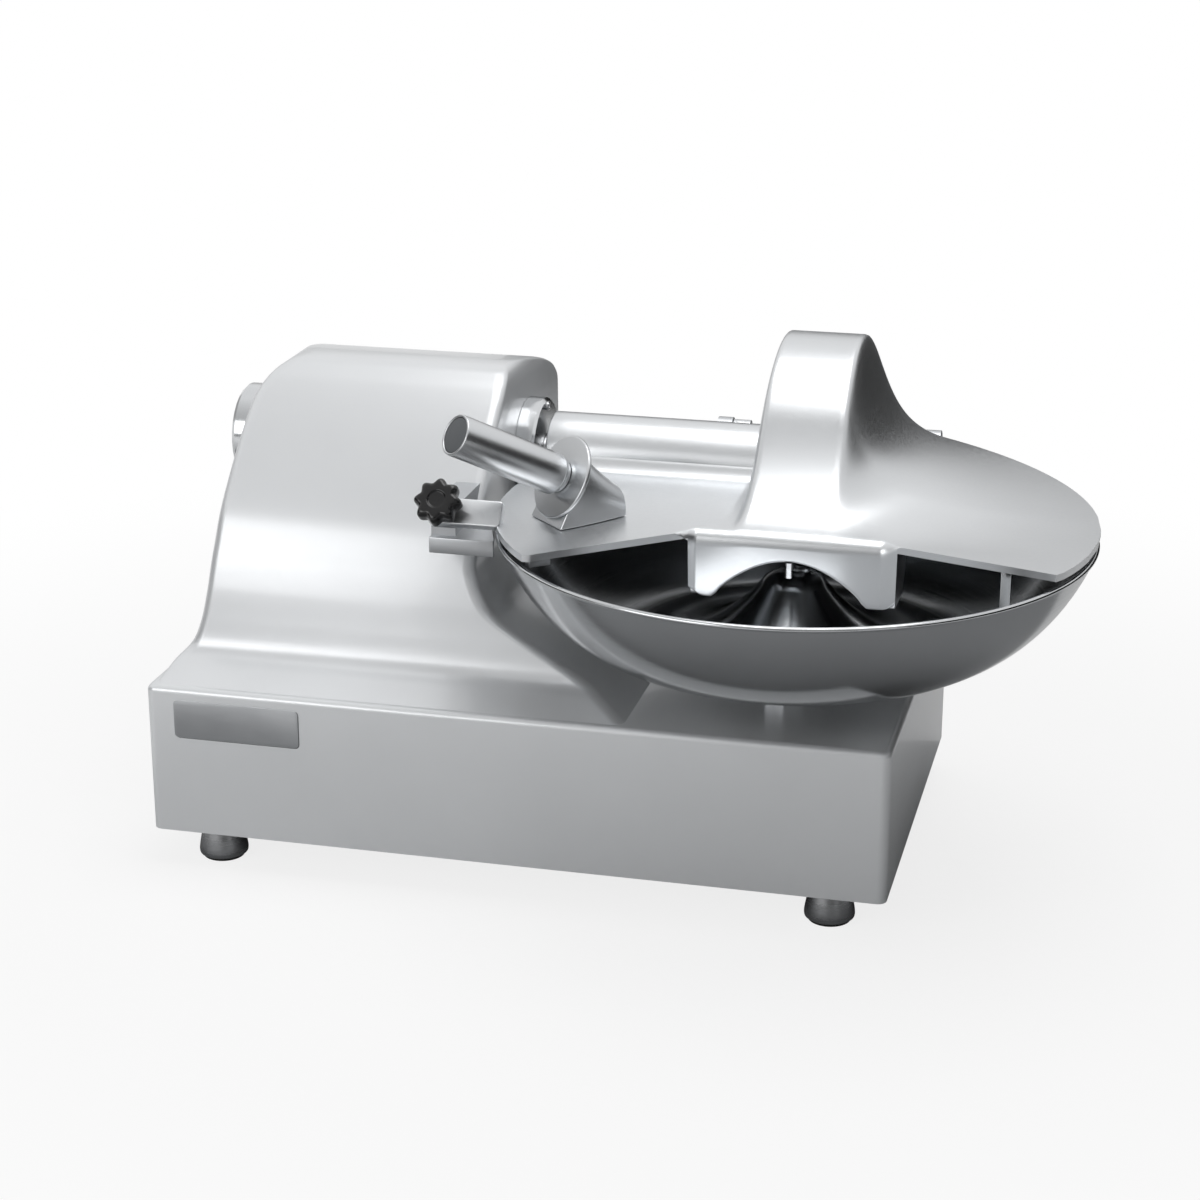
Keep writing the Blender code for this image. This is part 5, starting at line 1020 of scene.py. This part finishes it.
    def rise(self, x: np.ndarray, y: np.ndarray) -> np.ndarray:
        """Return the outer skin's height above the plate.

        It is the higher of the hump and the tunnel, averaged over nine near points with the
        weights 1, 2, 1 each way, which rounds every crease as a casting's radii do.

        Args:
            x: Places along the shaft, from the bowl's axis.
            y: Places across it.

        Returns:
            Heights in metres.
        """
        total = 0.0
        for dx, along in ((-self.crease, 0.25), (0.0, 0.5), (self.crease, 0.25)):
            for dy, across in ((-self.crease, 0.25), (0.0, 0.5), (self.crease, 0.25)):
                near, far = x + dx, y + dy
                high = np.maximum(self.hump_rise(far) * self.side_share(near), self.tunnel_rise(near, far))
                total = total + along * across * high
        return total

    def inner_rise(self, x: np.ndarray, y: np.ndarray) -> np.ndarray:
        """Return the inner skin's height: the outer one pressed in by a ball as wide as the wall."""
        lowest = self.rise(x, y) - self.wall
        for share in (0.55, 0.85, 1.0):
            drop = self.wall * math.sqrt(1 - share ** 2)
            for turn in np.linspace(0.0, TURN, 8, endpoint=False):
                reach = self.wall * share
                near = self.rise(x + reach * math.cos(turn), y + reach * math.sin(turn))
                lowest = np.minimum(lowest, near - drop)
        return np.maximum(lowest, -self.wall)

    def stations(self) -> np.ndarray:
        """Return places along X, closest together at the hump's walls and the skirt's ends."""
        ends, left, right, hump = 0.998 * self.at.lid_radius, -self.skirt_left, self.skirt_right, self.hump_half
        keys = (-ends, left - 0.8 * MM, left + 0.2 * MM, -hump - 7.5 * MM, -hump + 1.5 * MM, hump,
                right - 0.8 * MM, right + 0.8 * MM, ends)
        # Points on each run, most where a wall or an edge turns within a few millimetres.
        counts = (36, 6, 30, 14, 28, 44, 8, 30)
        runs = [np.linspace(a, b, n, endpoint=False) for a, b, n in zip(keys, keys[1:], counts)]
        return np.concatenate(runs + [[ends]])

    def across(self, x: np.ndarray) -> np.ndarray:
        """Return places along Y for each station, closest together at the front edge and the tunnel's feet."""
        start, end = self.front_edge(x), np.sqrt(np.maximum(self.at.lid_radius ** 2 - x ** 2, 0.0))
        side = self.tunnel_radius - MM
        middle = self.at.shaft_offset
        width = end - start
        foot = side + self.tunnel_fillet
        keys = (start + 1.1 * self.roll_radius, middle - foot, middle - side, middle + side, middle + foot)
        inner = [np.clip(key, start + 0.02 * k * width, end - 0.02 * (6 - k) * width) for k, key in enumerate(keys, 1)]
        knots = np.stack([start, *inner, end], axis=-1)
        # Points on each run: the rolled edge, the plate, the tunnel's foot, its arch, its other foot, the rear.
        steps = np.diff(knots, axis=1)
        parts = [knots[:, k:k + 1] + steps[:, k:k + 1] * np.linspace(0.0, 1.0, n, endpoint=False)
                 for k, n in enumerate((12, 50, 12, 20, 12, 24))]
        return np.concatenate(parts + [knots[:, -1:]], axis=1)

    def roll(self, x: np.ndarray) -> np.ndarray:
        """Return the radius that turns the front edge down into the skirt, faded out past the skirt's ends."""
        rise = np.clip((x + self.skirt_left + 10 * MM) / self.roll_fade, 0.0, 1.0)
        fall = np.clip((self.skirt_right + 3 * MM - x) / self.roll_fade, 0.0, 1.0)
        return self.roll_radius * rise ** 2 * (3 - 2 * rise) * fall ** 2 * (3 - 2 * fall)

    def skirt_depth_at(self, x: np.ndarray) -> tuple[np.ndarray, np.ndarray]:
        """Return how far the skirt's lower edge hangs under the plate's top.

        Two lobes hang deepest, with a cosine arch between them, and past its ends there is only
        the plate's edge.

        Args:
            x: Distances from the bowl's axis along the shaft.

        Returns:
            Depths, and the share of the skirt that stands at each X.
        """
        deep = self.wall + self.skirt_depth
        foot = 0.16 * self.skirt_depth
        share = np.linspace(-1.0, 1.0, 49)
        middle, half = (self.arch_right - self.arch_left) / 2, (self.arch_right + self.arch_left) / 2
        rise = self.skirt_depth - self.arch_foot + self.arch_rise * np.maximum(np.cos(share * TURN / 4), 0.0) ** 0.8
        start, stop = -self.skirt_left, self.skirt_right
        left = eased([(start, deep - foot), (start + foot, deep), (-self.arch_left - foot / 2, deep)], 5 * MM)
        right = eased([(self.arch_right + foot / 2, deep), (stop - foot, deep), (stop, deep - foot)], 5 * MM)
        line = np.concatenate((left, np.stack((middle + share * half, deep - rise), axis=-1), right))
        before, after = start - 0.4 * MM, stop + 0.4 * MM
        depths = np.interp(x, [before, *line[:, 0], after], [self.wall, *line[:, 1], self.wall])
        return depths, np.interp(x, (before, start, stop, after), (0.0, 1.0, 1.0, 0.0))

    def shell(self) -> Shape:
        """Return the closed shell as one run of points at each station.

        The run goes over the outer skin from the rear, rolls down at the front by
        r - sqrt(r^2 - (r - d)^2), with d the distance from the edge, hangs as the skirt's front,
        turns under its lower edge by half an ellipse, climbs its back and returns under the
        inner skin.

        Returns:
            The shape.
        """
        stations = self.stations()[:, None]
        y = self.across(stations[:, 0])
        front = y[:, :1]
        radius = self.roll(stations)
        near = np.minimum(y - front, radius)
        top = self.rise(stations + 0 * y, y) - (radius - np.sqrt(np.maximum(radius ** 2 - (radius - near) ** 2, 0.0)))
        depth, stands = self.skirt_depth_at(stations)
        thick, edge = self.skirt_wall * stands, 2 * MM * stands
        t = np.linspace(0.0, 1.0, 14)[None, 1:]
        turn = np.linspace(0.0, TURN / 2, 9)[None, 1:-1]
        inner_y = np.maximum(y, front + thick)
        inner = self.inner_rise(stations + 0 * y, inner_y)
        low = edge - depth
        runs = ((y[:, ::-1], top[:, ::-1]),
                (front + 0 * t, top[:, :1] + (low - top[:, :1]) * t),
                (front + thick / 2 * (1 - np.cos(turn)), low - edge * np.sin(turn)),
                (front + thick + 0 * t, low + (inner[:, :1] - low) * (1 - t[:, ::-1])),
                (inner_y, inner))
        y, z = (np.concatenate(rows, axis=1) for rows in zip(*runs))
        middle = np.array((self.at.bowl_x, self.at.bowl_y, self.at.lid_top))
        points = np.stack((stations + 0 * y, y, z), axis=-1) + middle
        shape = Shape().grid(points).grid(np.stack((points[:, 0], points[:, -1])))
        return shape.cap(points[0]).cap(points[-1][::-1])

    def across_shaft(self, x: float) -> Matrix:
        """Return a frame on the shaft's line, with local X along +Y, local Y up and local Z along the shaft."""
        return flat_frame((0, 1, 0), (0, 0, 1), (x, self.at.shaft_y, self.at.shaft_z))

    def arch(self, radius: float, drop: float) -> np.ndarray:
        """Return a half circle of (cos t, sin t) on two straight legs, from the right foot to the left."""
        return np.concatenate(([(radius, -drop)], arc(radius, 0, 180, 49), [(-radius, -drop)]))

    def collar(self) -> Shape:
        """Return the tunnel: two arches carried along the shaft into the hump's wall.

        The free end's edges are rounded by a quarter circle.

        Returns:
            The closed shape.
        """
        drop = self.axis_rise + self.wall / 2
        turns = np.linspace(0.0, TURN / 4, 5)
        edge = 1.5 * MM
        length = self.tunnel_reach - self.tunnel_end
        inset = np.concatenate((edge * (1 - np.sin(turns)), np.zeros(12)))
        depth = np.concatenate((edge * (1 - np.cos(turns)), np.linspace(edge, length, 13)[1:]))
        inside = self.tunnel_radius - self.tunnel_wall
        rings = [(self.arch(self.tunnel_radius - step, drop), self.arch(inside + step, drop)[::-1]) for step in inset]
        rings = np.stack([np.concatenate(ring) for ring in rings])
        solid = put(lifted(rings, depth), self.across_shaft(self.at.bowl_x - self.tunnel_reach))
        return Shape().grid(solid, wrap=True).cap(solid[0][::-1]).cap(solid[-1])

    def returns(self) -> Shape:
        """Return the two walls that run back from the skirt's ends."""
        top, low = self.at.lid_top - self.wall / 2, self.at.lid_top - self.wall - self.skirt_depth + MM
        off, end = 0.3 * self.skirt_depth, self.skirt_return
        outline = eased([(0.0, top), (0.0, low), (end - off, low), (end, low + off), (end, top)], 4 * MM, closed=True)
        shape = Shape()
        for left in (-self.skirt_left + GAP, self.skirt_right - self.skirt_wall - GAP):
            place = (self.at.bowl_x + left + self.skirt_wall / 2, self.at.bowl_y - self.hump_front + MM, 0.0)
            shape.join(slab(outline, self.skirt_wall, MM, flat_frame((0, 1, 0), (0, 0, 1), place)))
        return shape

    def knuckles(self) -> Shape:
        """Return the two hinge barrels and the arms that join them to the plate."""
        shape = Shape()
        y, z, half = self.at.rear - self.pin_inset, self.at.lid_top, self.knuckle_half
        profile = eased([(self.bore, -half), (self.barrel, -half), (self.barrel, half), (self.bore, half)], 0.6 * MM,
                        closed=True)
        profile = np.concatenate((profile, profile[:1]))
        for post, side in ((self.at.bowl_x - self.left_post, 1), (self.at.bowl_x + self.right_post, -1)):
            middle = post + side * (self.post_half + GAP + half)
            shape.join(revolve(profile, axis_frame((1, 0, 0), (middle, y, z)), 48))
            low = (middle - self.arm_half, y - self.arm_reach, z - self.arm_low)
            high = (middle + self.arm_half, y - self.arm_end, z + self.arm_high)
            shape.join(brick(low, high, 1.2 * MM))
        return shape

    def build(self) -> None:
        """Make the casting's pieces."""
        shell = self.shell().build("lid_shell", 60.0)
        hollow = self.arch(self.tunnel_radius - self.tunnel_wall, self.axis_rise + 2 * self.wall)
        start, stop = self.at.bowl_x - self.tunnel_reach - 4 * MM, self.at.bowl_x - self.tunnel_clear
        cut_out(shell, [slab(hollow, stop - start, 0.0, self.across_shaft((start + stop) / 2))], 60.0)
        self.dress(shell, BUFFED_ALUMINIUM, "lid", "lid_casting", bevel=1.3 * MM)
        shapes = {"lid_tunnel": self.collar(), "lid_skirt_returns": self.returns(), "lid_knuckles": self.knuckles()}
        for name, shape in shapes.items():
            self.piece(name, shape, BUFFED_ALUMINIUM, "lid")
        self.refined("bowl_scraper", POLISHED_STEEL)
        self.refined("arch_pin", TURNED_STEEL, sharp=40.0)
        self.refined("corner_tab", BLASTED_ALUMINIUM, bevel=0.4 * MM)
        for side in ("left", "right"):
            self.refined(f"{side}_hinge_post", BLASTED_ALUMINIUM, bevel=0.6 * MM)
            self.refined(f"{side}_hinge_pin", TURNED_STEEL, sharp=40.0)


@dataclass
class Handle(SubAssembly):
    """The lid's handle: cast boss, guard disc, grip tube and end cap on one slanting axis."""

    inset: float = 0.048
    place_deg: float = -160.8
    rise: float = 0.032
    turn_deg: float = 45.0
    tilt_deg: float = 27.0
    disc_radius: float = 0.0305
    disc: float = 0.003
    radius: float = 0.015
    length: float = 0.094
    neck: float = 0.006
    cap: float = 0.004
    boss_half: float = 0.021
    boss_length: float = 0.042
    boss_rise: float = 0.050

    def centre(self) -> Vector:
        """Return the middle of the guard disc."""
        reach = self.at.lid_radius - self.inset
        turn = math.radians(self.place_deg)
        x, y = self.at.bowl_x + reach * math.cos(turn), self.at.bowl_y + reach * math.sin(turn)
        return Vector((x, y, self.at.lid_top + self.rise))

    def axis(self) -> Matrix:
        """Return the handle's frame, with local Z out along the grip."""
        turn, tilt = math.radians(self.turn_deg), math.radians(self.tilt_deg)
        level = -math.cos(tilt)
        return axis_frame((level * math.cos(turn), level * math.sin(turn), math.sin(tilt)), self.centre())

    def boss(self) -> Shape:
        """Return the cast boss: half-round sections that shrink away from the disc.

        With s from the disc to the far end and t over the section, the half width is
        h(1 - 0.3 s^2), the height r(1 - 0.6 s^1.2) times sin(t)^0.6, and the front leans back
        with the disc.

        Returns:
            The closed shape.
        """
        turn, tilt = math.radians(self.turn_deg), math.radians(self.tilt_deg)
        outward = np.array((-math.cos(turn), -math.sin(turn), 0.0))
        side = np.array((math.sin(turn), -math.cos(turn), 0.0))
        s = np.linspace(0.0, 1.0, 28)[:, None]
        t = np.linspace(0.0, TURN / 2, 41)[None, :]
        across = self.boss_half * (1 - 0.3 * s ** 2) * np.cos(t)
        height = GAP - self.rise + self.boss_rise * (1 - 0.6 * s ** 1.2) * np.maximum(np.sin(t), 0.0) ** 0.6
        behind = (self.disc / 2 + GAP) / math.cos(tilt)
        back = -math.tan(tilt) * height * (1 - s) - behind - self.boss_length * s
        points = (np.array(self.centre()) + back[..., None] * outward + across[..., None] * side
                  + height[..., None] * np.array((0.0, 0.0, 1.0)))
        shape = Shape().grid(points, wrap=True)
        return shape.cap(points[0][::-1]).cap(points[-1])

    def build(self) -> None:
        """Make the four pieces."""
        axis, half, body = self.axis(), self.disc / 2, "lid"
        disc = rod(self.disc_radius, -half, half, 1.2 * MM)
        self.piece("guard_disc_turned", revolve(disc, axis, 128), SATIN_STEEL, body, "guard_disc")
        start = half + GAP
        end, thin, inner = start + self.length, 0.8 * self.radius, self.radius - 2 * MM
        seat = end - self.cap
        tube = eased([(0.0, start), (thin, start), (thin, start + self.neck / 2), (self.radius, start + self.neck),
                      (self.radius, end), (inner, end), (inner, seat - GAP), (0.0, seat - GAP)], 1.0 * MM)
        self.piece("handle_tube_turned", revolve(tube, axis, 96), SATIN_STEEL, body, "handle_tube")
        cap = rod(inner - GAP, seat, end - 0.5 * MM, 0.8 * MM)
        self.piece("handle_end_cap_moulded", revolve(cap, axis, 72), GREY_ABS, body, "handle_end_cap")
        self.piece("handle_boss_cast", self.boss(), BUFFED_ALUMINIUM, body, "handle_boss", sharp=45.0, bevel=2.0 * MM)


@dataclass
class Lock(SubAssembly):
    """The lid lock: slanting lug, keeper bracket, sliding pin and star knob."""

    x: float = -0.117
    y: float = -0.072
    z: float = 0.2807
    tilt_deg: float = 50.0
    lift: float = 0.0005
    plate: float = 0.008
    half: float = 0.010
    reach: float = 0.043
    knob_radius: float = 0.0175
    lobes: int = 8
    lobe_depth: float = 0.0016
    knob_width: float = 0.012
    hub_radius: float = 0.0075
    hub_length: float = 0.008

    def axis(self, reach: float = 0.0) -> Matrix:
        """Return a frame on the lock's axis, with local Z out towards the knob and local X along the machine."""
        tilt = math.radians(self.tilt_deg)
        out = Vector((0.0, -math.sin(tilt), math.cos(tilt)))
        origin = Vector((self.x, self.y, self.z)) + reach * out
        return flat_frame((1.0, 0.0, 0.0), (0.0, math.cos(tilt), math.sin(tilt)), origin)

    def knob(self) -> Shape:
        """Return the star knob: the radius is R - d(1 - cos 8t), times a share that eases over its face."""
        start = self.lift + self.plate + GAP + self.hub_length
        rows = eased([(0.0, 0.0), (0.90, 0.0), (1.0, 0.16), (1.0, 0.72), (0.84, 1.0), (0.42, 1.0), (0.38, 0.90),
                      (0.0, 0.90)], 0.14, 6)
        turns = np.linspace(0.0, TURN, 24 * self.lobes, endpoint=False)[None, :]
        star = self.knob_radius - self.lobe_depth * (1 - np.cos(self.lobes * turns))
        share = rows[:, 0:1]
        blend = np.clip((share - 0.42) / 0.3, 0.0, 1.0)
        radius = share * (star * blend + (self.knob_radius - self.lobe_depth) * (1 - blend))
        height = start + self.knob_width * rows[:, 1:2] + 0 * turns
        points = np.stack((radius * np.cos(turns), radius * np.sin(turns), height), axis=-1)
        hub = rod(self.hub_radius, start - self.hub_length, start + MM, 0.5 * MM)
        return Shape().grid(put(points, self.axis()), wrap=True).join(revolve(hub, self.axis(), 64))

    def lug(self) -> Shape:
        """Return the lug plate that juts from the lid over the keeper."""
        corners = rectangle(self.half + self.reach, 2 * self.half) + ((self.reach - self.half) / 2, 0.0)
        return slab(eased(corners, 3 * MM, closed=True), self.plate, MM, self.axis(self.lift + self.plate / 2))

    def build(self) -> None:
        """Make the lock's pieces."""
        self.piece("star_knob_moulded", self.knob(), GLOSSY_BLACK, "knob", "star_knob", sharp=50.0)
        self.piece("lid_lock_lug", self.lug(), BUFFED_ALUMINIUM, "lid")
        self.refined("lock_bracket", BLASTED_ALUMINIUM, bevel=0.5 * MM)
        self.refined("lock_pin", TURNED_STEEL, self.axis(), sharp=40.0)


@dataclass
class Drive(SubAssembly):
    """The pieces of the knife drive that show: shaft, knives, front boss and rear cap."""

    screw_circle: float = 0.0355
    screw_radius: float = 0.0034

    def screw(self, place: Matrix) -> Shape:
        """Return a cap screw's head, with a round socket sunk in it."""
        radius, height = self.screw_radius, 2.6 * MM
        socket, bottom = 0.5 * radius, height - 1.6 * MM
        corners = [(0.0, bottom), (socket, bottom), (socket, height), (radius, height), (radius, 0.0), (0.0, 0.0)]
        profile = eased(corners, 0.4 * MM, 3)
        return revolve(profile, place, 36)

    def build(self) -> None:
        """Refine the visible solids and add the boss's screws."""
        line = self.at.on_shaft(0.0)
        for node in ("bearing_housing", "rear_cap", "knife_shaft", "knife_hub", "knife_nut", "knife_collar"):
            self.refined(node, TURNED_STEEL if node == "knife_shaft" else POLISHED_STEEL, line, sharp=40.0)
        for node in ("inner_knife", "outer_knife"):
            self.refined(node, GROUND_STEEL, sharp=30.0)
        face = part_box("bearing_housing")[1][0]
        heads = Shape()
        for turn in np.linspace(0.25, 1.0, 4) * TURN:
            y = self.at.shaft_y + self.screw_circle * math.cos(turn)
            z = self.at.shaft_z + self.screw_circle * math.sin(turn)
            heads.join(self.screw(axis_frame((1, 0, 0), (face, y, z))))
        self.piece("boss_screws", heads, TURNED_STEEL, "machine_frame")


@dataclass
class Fittings(SubAssembly):
    """The bare name plate, the two buttons and the inlet's pins."""

    plate_left: float = 0.022
    plate_top: float = 0.0095
    plate_width: float = 0.097
    plate_height: float = 0.0295
    pin_spread: float = 0.007
    pin_rise: float = 0.004
    pin_foot: float = 0.0155
    pin_tip: float = 0.003

    def build(self) -> None:
        """Make the fittings."""
        outline = eased(rectangle(self.plate_width, self.plate_height), 4 * MM, 8, closed=True)
        middle = Vector((self.at.left + self.plate_left + self.plate_width / 2, self.at.front,
                         self.at.base_top - self.plate_top - self.plate_height / 2))
        for name, offset, thick, edge, finish in (("plate_gasket", (0.4, -0.15, -0.4), 0.3, 0.1, GREY_ABS),
                                                  ("name_plate_bare", (0.0, -0.35, 0.0), 0.4, 0.15, BRUSHED_SHEET)):
            place = flat_frame((1, 0, 0), (0, 0, 1), middle + Vector(offset) * MM)
            self.piece(name, slab(outline, thick * MM, edge * MM, place), finish, "machine_frame")
        for node, finish in (("start_button", GREEN_ABS), ("stop_button", RED_ABS)):
            self.refined(node, finish)
        low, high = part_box("power_inlet")
        foot, tip, pins = self.at.rear - self.pin_foot, self.at.rear - self.pin_tip, Shape()
        for dx, dz in ((-self.pin_spread, 0.0), (0.0, self.pin_rise), (self.pin_spread, 0.0)):
            x, z = (low[0] + high[0]) / 2 + dx, (low[2] + high[2]) / 2 + dz
            pins.join(brick((x - MM, foot, z - 2 * MM), (x + MM, tip, z + 2 * MM), 0.3 * MM))
        self.piece("inlet_pins", pins, HONED_STEEL, "machine_frame")


@dataclass
class Studio:
    """The floor, the light and the camera. None of it belongs to the machine."""

    target: tuple = (-0.0213, 0.0, 0.1998)
    azimuth: float = 13.92
    elevation: float = 19.18
    distance: float = 1.9569
    lens: float = 79.22
    sky: float = 0.50
    right_share: float = 0.22
    wall_level: float = 0.42
    front_level: float = 0.50
    floor_width: float = 40.0

    def camera(self) -> None:
        """Place the camera: target plus distance times the direction of the two angles, with no shift."""
        az, el = math.radians(self.azimuth), math.radians(self.elevation)
        back = Vector((math.sin(az) * math.cos(el), -math.cos(az) * math.cos(el), math.sin(el)))
        right = Vector((math.cos(az), math.sin(az), 0.0))
        data = bpy.data.cameras.new("view")
        data.lens, data.sensor_width = self.lens, 36.0
        obj = bpy.data.objects.new("view", data)
        obj.matrix_world = flat_frame(right, back.cross(right), Vector(self.target) + self.distance * back)
        bpy.context.scene.collection.objects.link(obj)
        bpy.context.scene.camera = obj

    def lamp(self, name: str, place: tuple, size: tuple, power: float) -> None:
        """Hang a soft rectangular lamp that points at the machine.

        Args:
            name: Name of the lamp.
            place: Where it hangs.
            size: Its width and height.
            power: Its power in watts.
        """
        data = bpy.data.lights.new(name, "AREA")
        data.shape, data.size, data.size_y, data.energy = "RECTANGLE", size[0], size[1], power
        obj = bpy.data.objects.new(name, data)
        obj.matrix_world = axis_frame(Vector(place) - Vector(self.target), place)
        bpy.context.scene.collection.objects.link(obj)

    def world(self) -> None:
        """Light the room, less from the right. The eye sees white, and metal sees a white ceiling over grey walls."""
        world = bpy.data.worlds.new("studio")
        world.use_nodes = True
        bpy.context.scene.world = world
        tree = world.node_tree
        tree.nodes.clear()
        path = add_node(tree, "LightPath")
        coords = add_node(tree, "TexCoord")
        toward = add_node(tree, "SeparateXYZ", {}, {0: coords.outputs["Generated"]})
        side = ranged(tree, toward.outputs["X"], (-0.8, 0.8), (self.sky, self.sky * self.right_share))
        walls = ranged(tree, toward.outputs["Z"], (0.05, 0.40), (self.wall_level, 1.0))
        front = ranged(tree, toward.outputs["Y"], (-0.9, 0.1), (self.front_level, 1.0))
        level = combined(tree, "MULTIPLY", walls, front)
        light = add_node(tree, "Background", {"Color": WHITE}, {"Strength": side})
        ceiling = add_node(tree, "Background", {"Color": WHITE}, {"Strength": level})
        white = add_node(tree, "Background", {"Color": WHITE, "Strength": 1.0})
        glossy = mixed(tree, path.outputs["Is Glossy Ray"], light, ceiling)
        mix = mixed(tree, path.outputs["Is Camera Ray"], glossy, white)
        add_node(tree, "OutputWorld", {}, {"Surface": mix.outputs[0]})

    def floor(self) -> None:
        """Lay a pale matt floor that keeps the shadow and fades to white away from the machine."""
        corners = lifted(rectangle(self.floor_width, self.floor_width)[None], np.zeros(1))[0]
        floor = Shape().cap(corners).build("floor", outward=False)
        material, tree = empty_material("matt_studio_paper")
        coords = add_node(tree, "TexCoord")
        reach = add_node(tree, "VectorMath", {"operation": "LENGTH"}, {0: coords.outputs["Object"]})
        fade = ranged(tree, reach.outputs["Value"], (0.35, 1.1), (0.82, 1.0), "SMOOTHSTEP")
        mirrored = ranged(tree, reach.outputs["Value"], (0.6, 1.8), (0.0, 0.9))
        path = add_node(tree, "LightPath")
        eye = combined(tree, "MULTIPLY", path.outputs["Is Camera Ray"], fade)
        metal = combined(tree, "MULTIPLY", path.outputs["Is Glossy Ray"], mirrored)
        matt = add_node(tree, "BsdfDiffuse", {"Color": linear("#f4f4f4")})
        glow = add_node(tree, "Emission", {"Color": WHITE, "Strength": 1.0})
        mix = mixed(tree, combined(tree, "ADD", eye, metal), matt, glow)
        add_node(tree, "OutputMaterial", {}, {"Surface": mix.outputs[0]})
        floor.data.materials.append(material)

    def card(self, name: str, place: tuple, size: tuple, grey: str, lying: bool = False) -> None:
        """Put up a grey card, so that metal has something darker than the room to reflect.

        Args:
            name: Name of the card.
            place: Middle of the card.
            size: Its width and height.
            grey: Its colour, sRGB hex.
            lying: Whether it lies flat on the floor and only metal sees it.
        """
        away = Vector(place) - Vector((self.target[0], self.target[1], place[2]))
        side = Vector((1.0, 0.0, 0.0)) if lying else Vector((0.0, 0.0, 1.0)).cross(away).normalized()
        up = (0.0, 1.0, 0.0) if lying else (0.0, 0.0, 1.0)
        corners = lifted(rectangle(*size)[None], np.zeros(1))[0]
        card = Shape().cap(put(corners, flat_frame(side, up, place))).build(name, outward=False)
        material, tree = empty_material(f"{name}_felt")
        felt = add_node(tree, "BsdfDiffuse", {"Color": linear(grey)})
        add_node(tree, "OutputMaterial", {}, {"Surface": felt.outputs[0]})
        card.data.materials.append(material)
        card.visible_camera = False
        if lying:
            card.visible_diffuse = False
            card.visible_shadow = False

    def build(self) -> None:
        """Set up the whole studio."""
        self.camera()
        self.world()
        self.floor()
        self.lamp("front_softbox", (-1.5, -2.2, 1.20), (1.8, 1.3), 20.0)
        self.lamp("top_softbox", (0.25, 0.1, 2.1), (1.5, 1.2), 18.0)
        self.card("right_card", (1.25, -0.1, 0.42), (1.8, 0.84), "#141414")
        self.card("left_card", (-1.5, -0.2, 0.35), (1.2, 0.7), "#1c1c1c")
        self.card("front_card", (0.75, -2.1, 0.30), (1.4, 0.60), "#303030")
        self.card("rear_card", (0.45, 1.1, 0.30), (2.1, 0.60), "#2c2c2c")
        self.card("table_card", (0.05, -0.15, 0.4 * MM), (1.15, 0.85), "#a4a5a6", lying=True)
        bpy.context.scene.view_settings.view_transform = "Standard"


def dress_solids() -> None:
    """Give every solid that shows the finish of its slot."""
    for name, solid in frame["nodes"].items():
        slot = solid.data.materials[0].name.split(".")[0]
        for holder in solid.material_slots:
            holder.material = SLOT_FINISHES[slot].make()
        log.info("%s: %s", name, slot)


def main() -> None:
    """Build the sub-assemblies in order and report each."""
    logging.basicConfig(level=logging.INFO, format="%(message)s")
    dress_solids()
    for part in (Housing(), Feet(), Bowl(), Lid(), Handle(), Lock(), Drive(), Fittings(), Studio()):
        part.build()
        log.info("%s built", type(part).__name__)


if __name__ == "__main__":
    main()
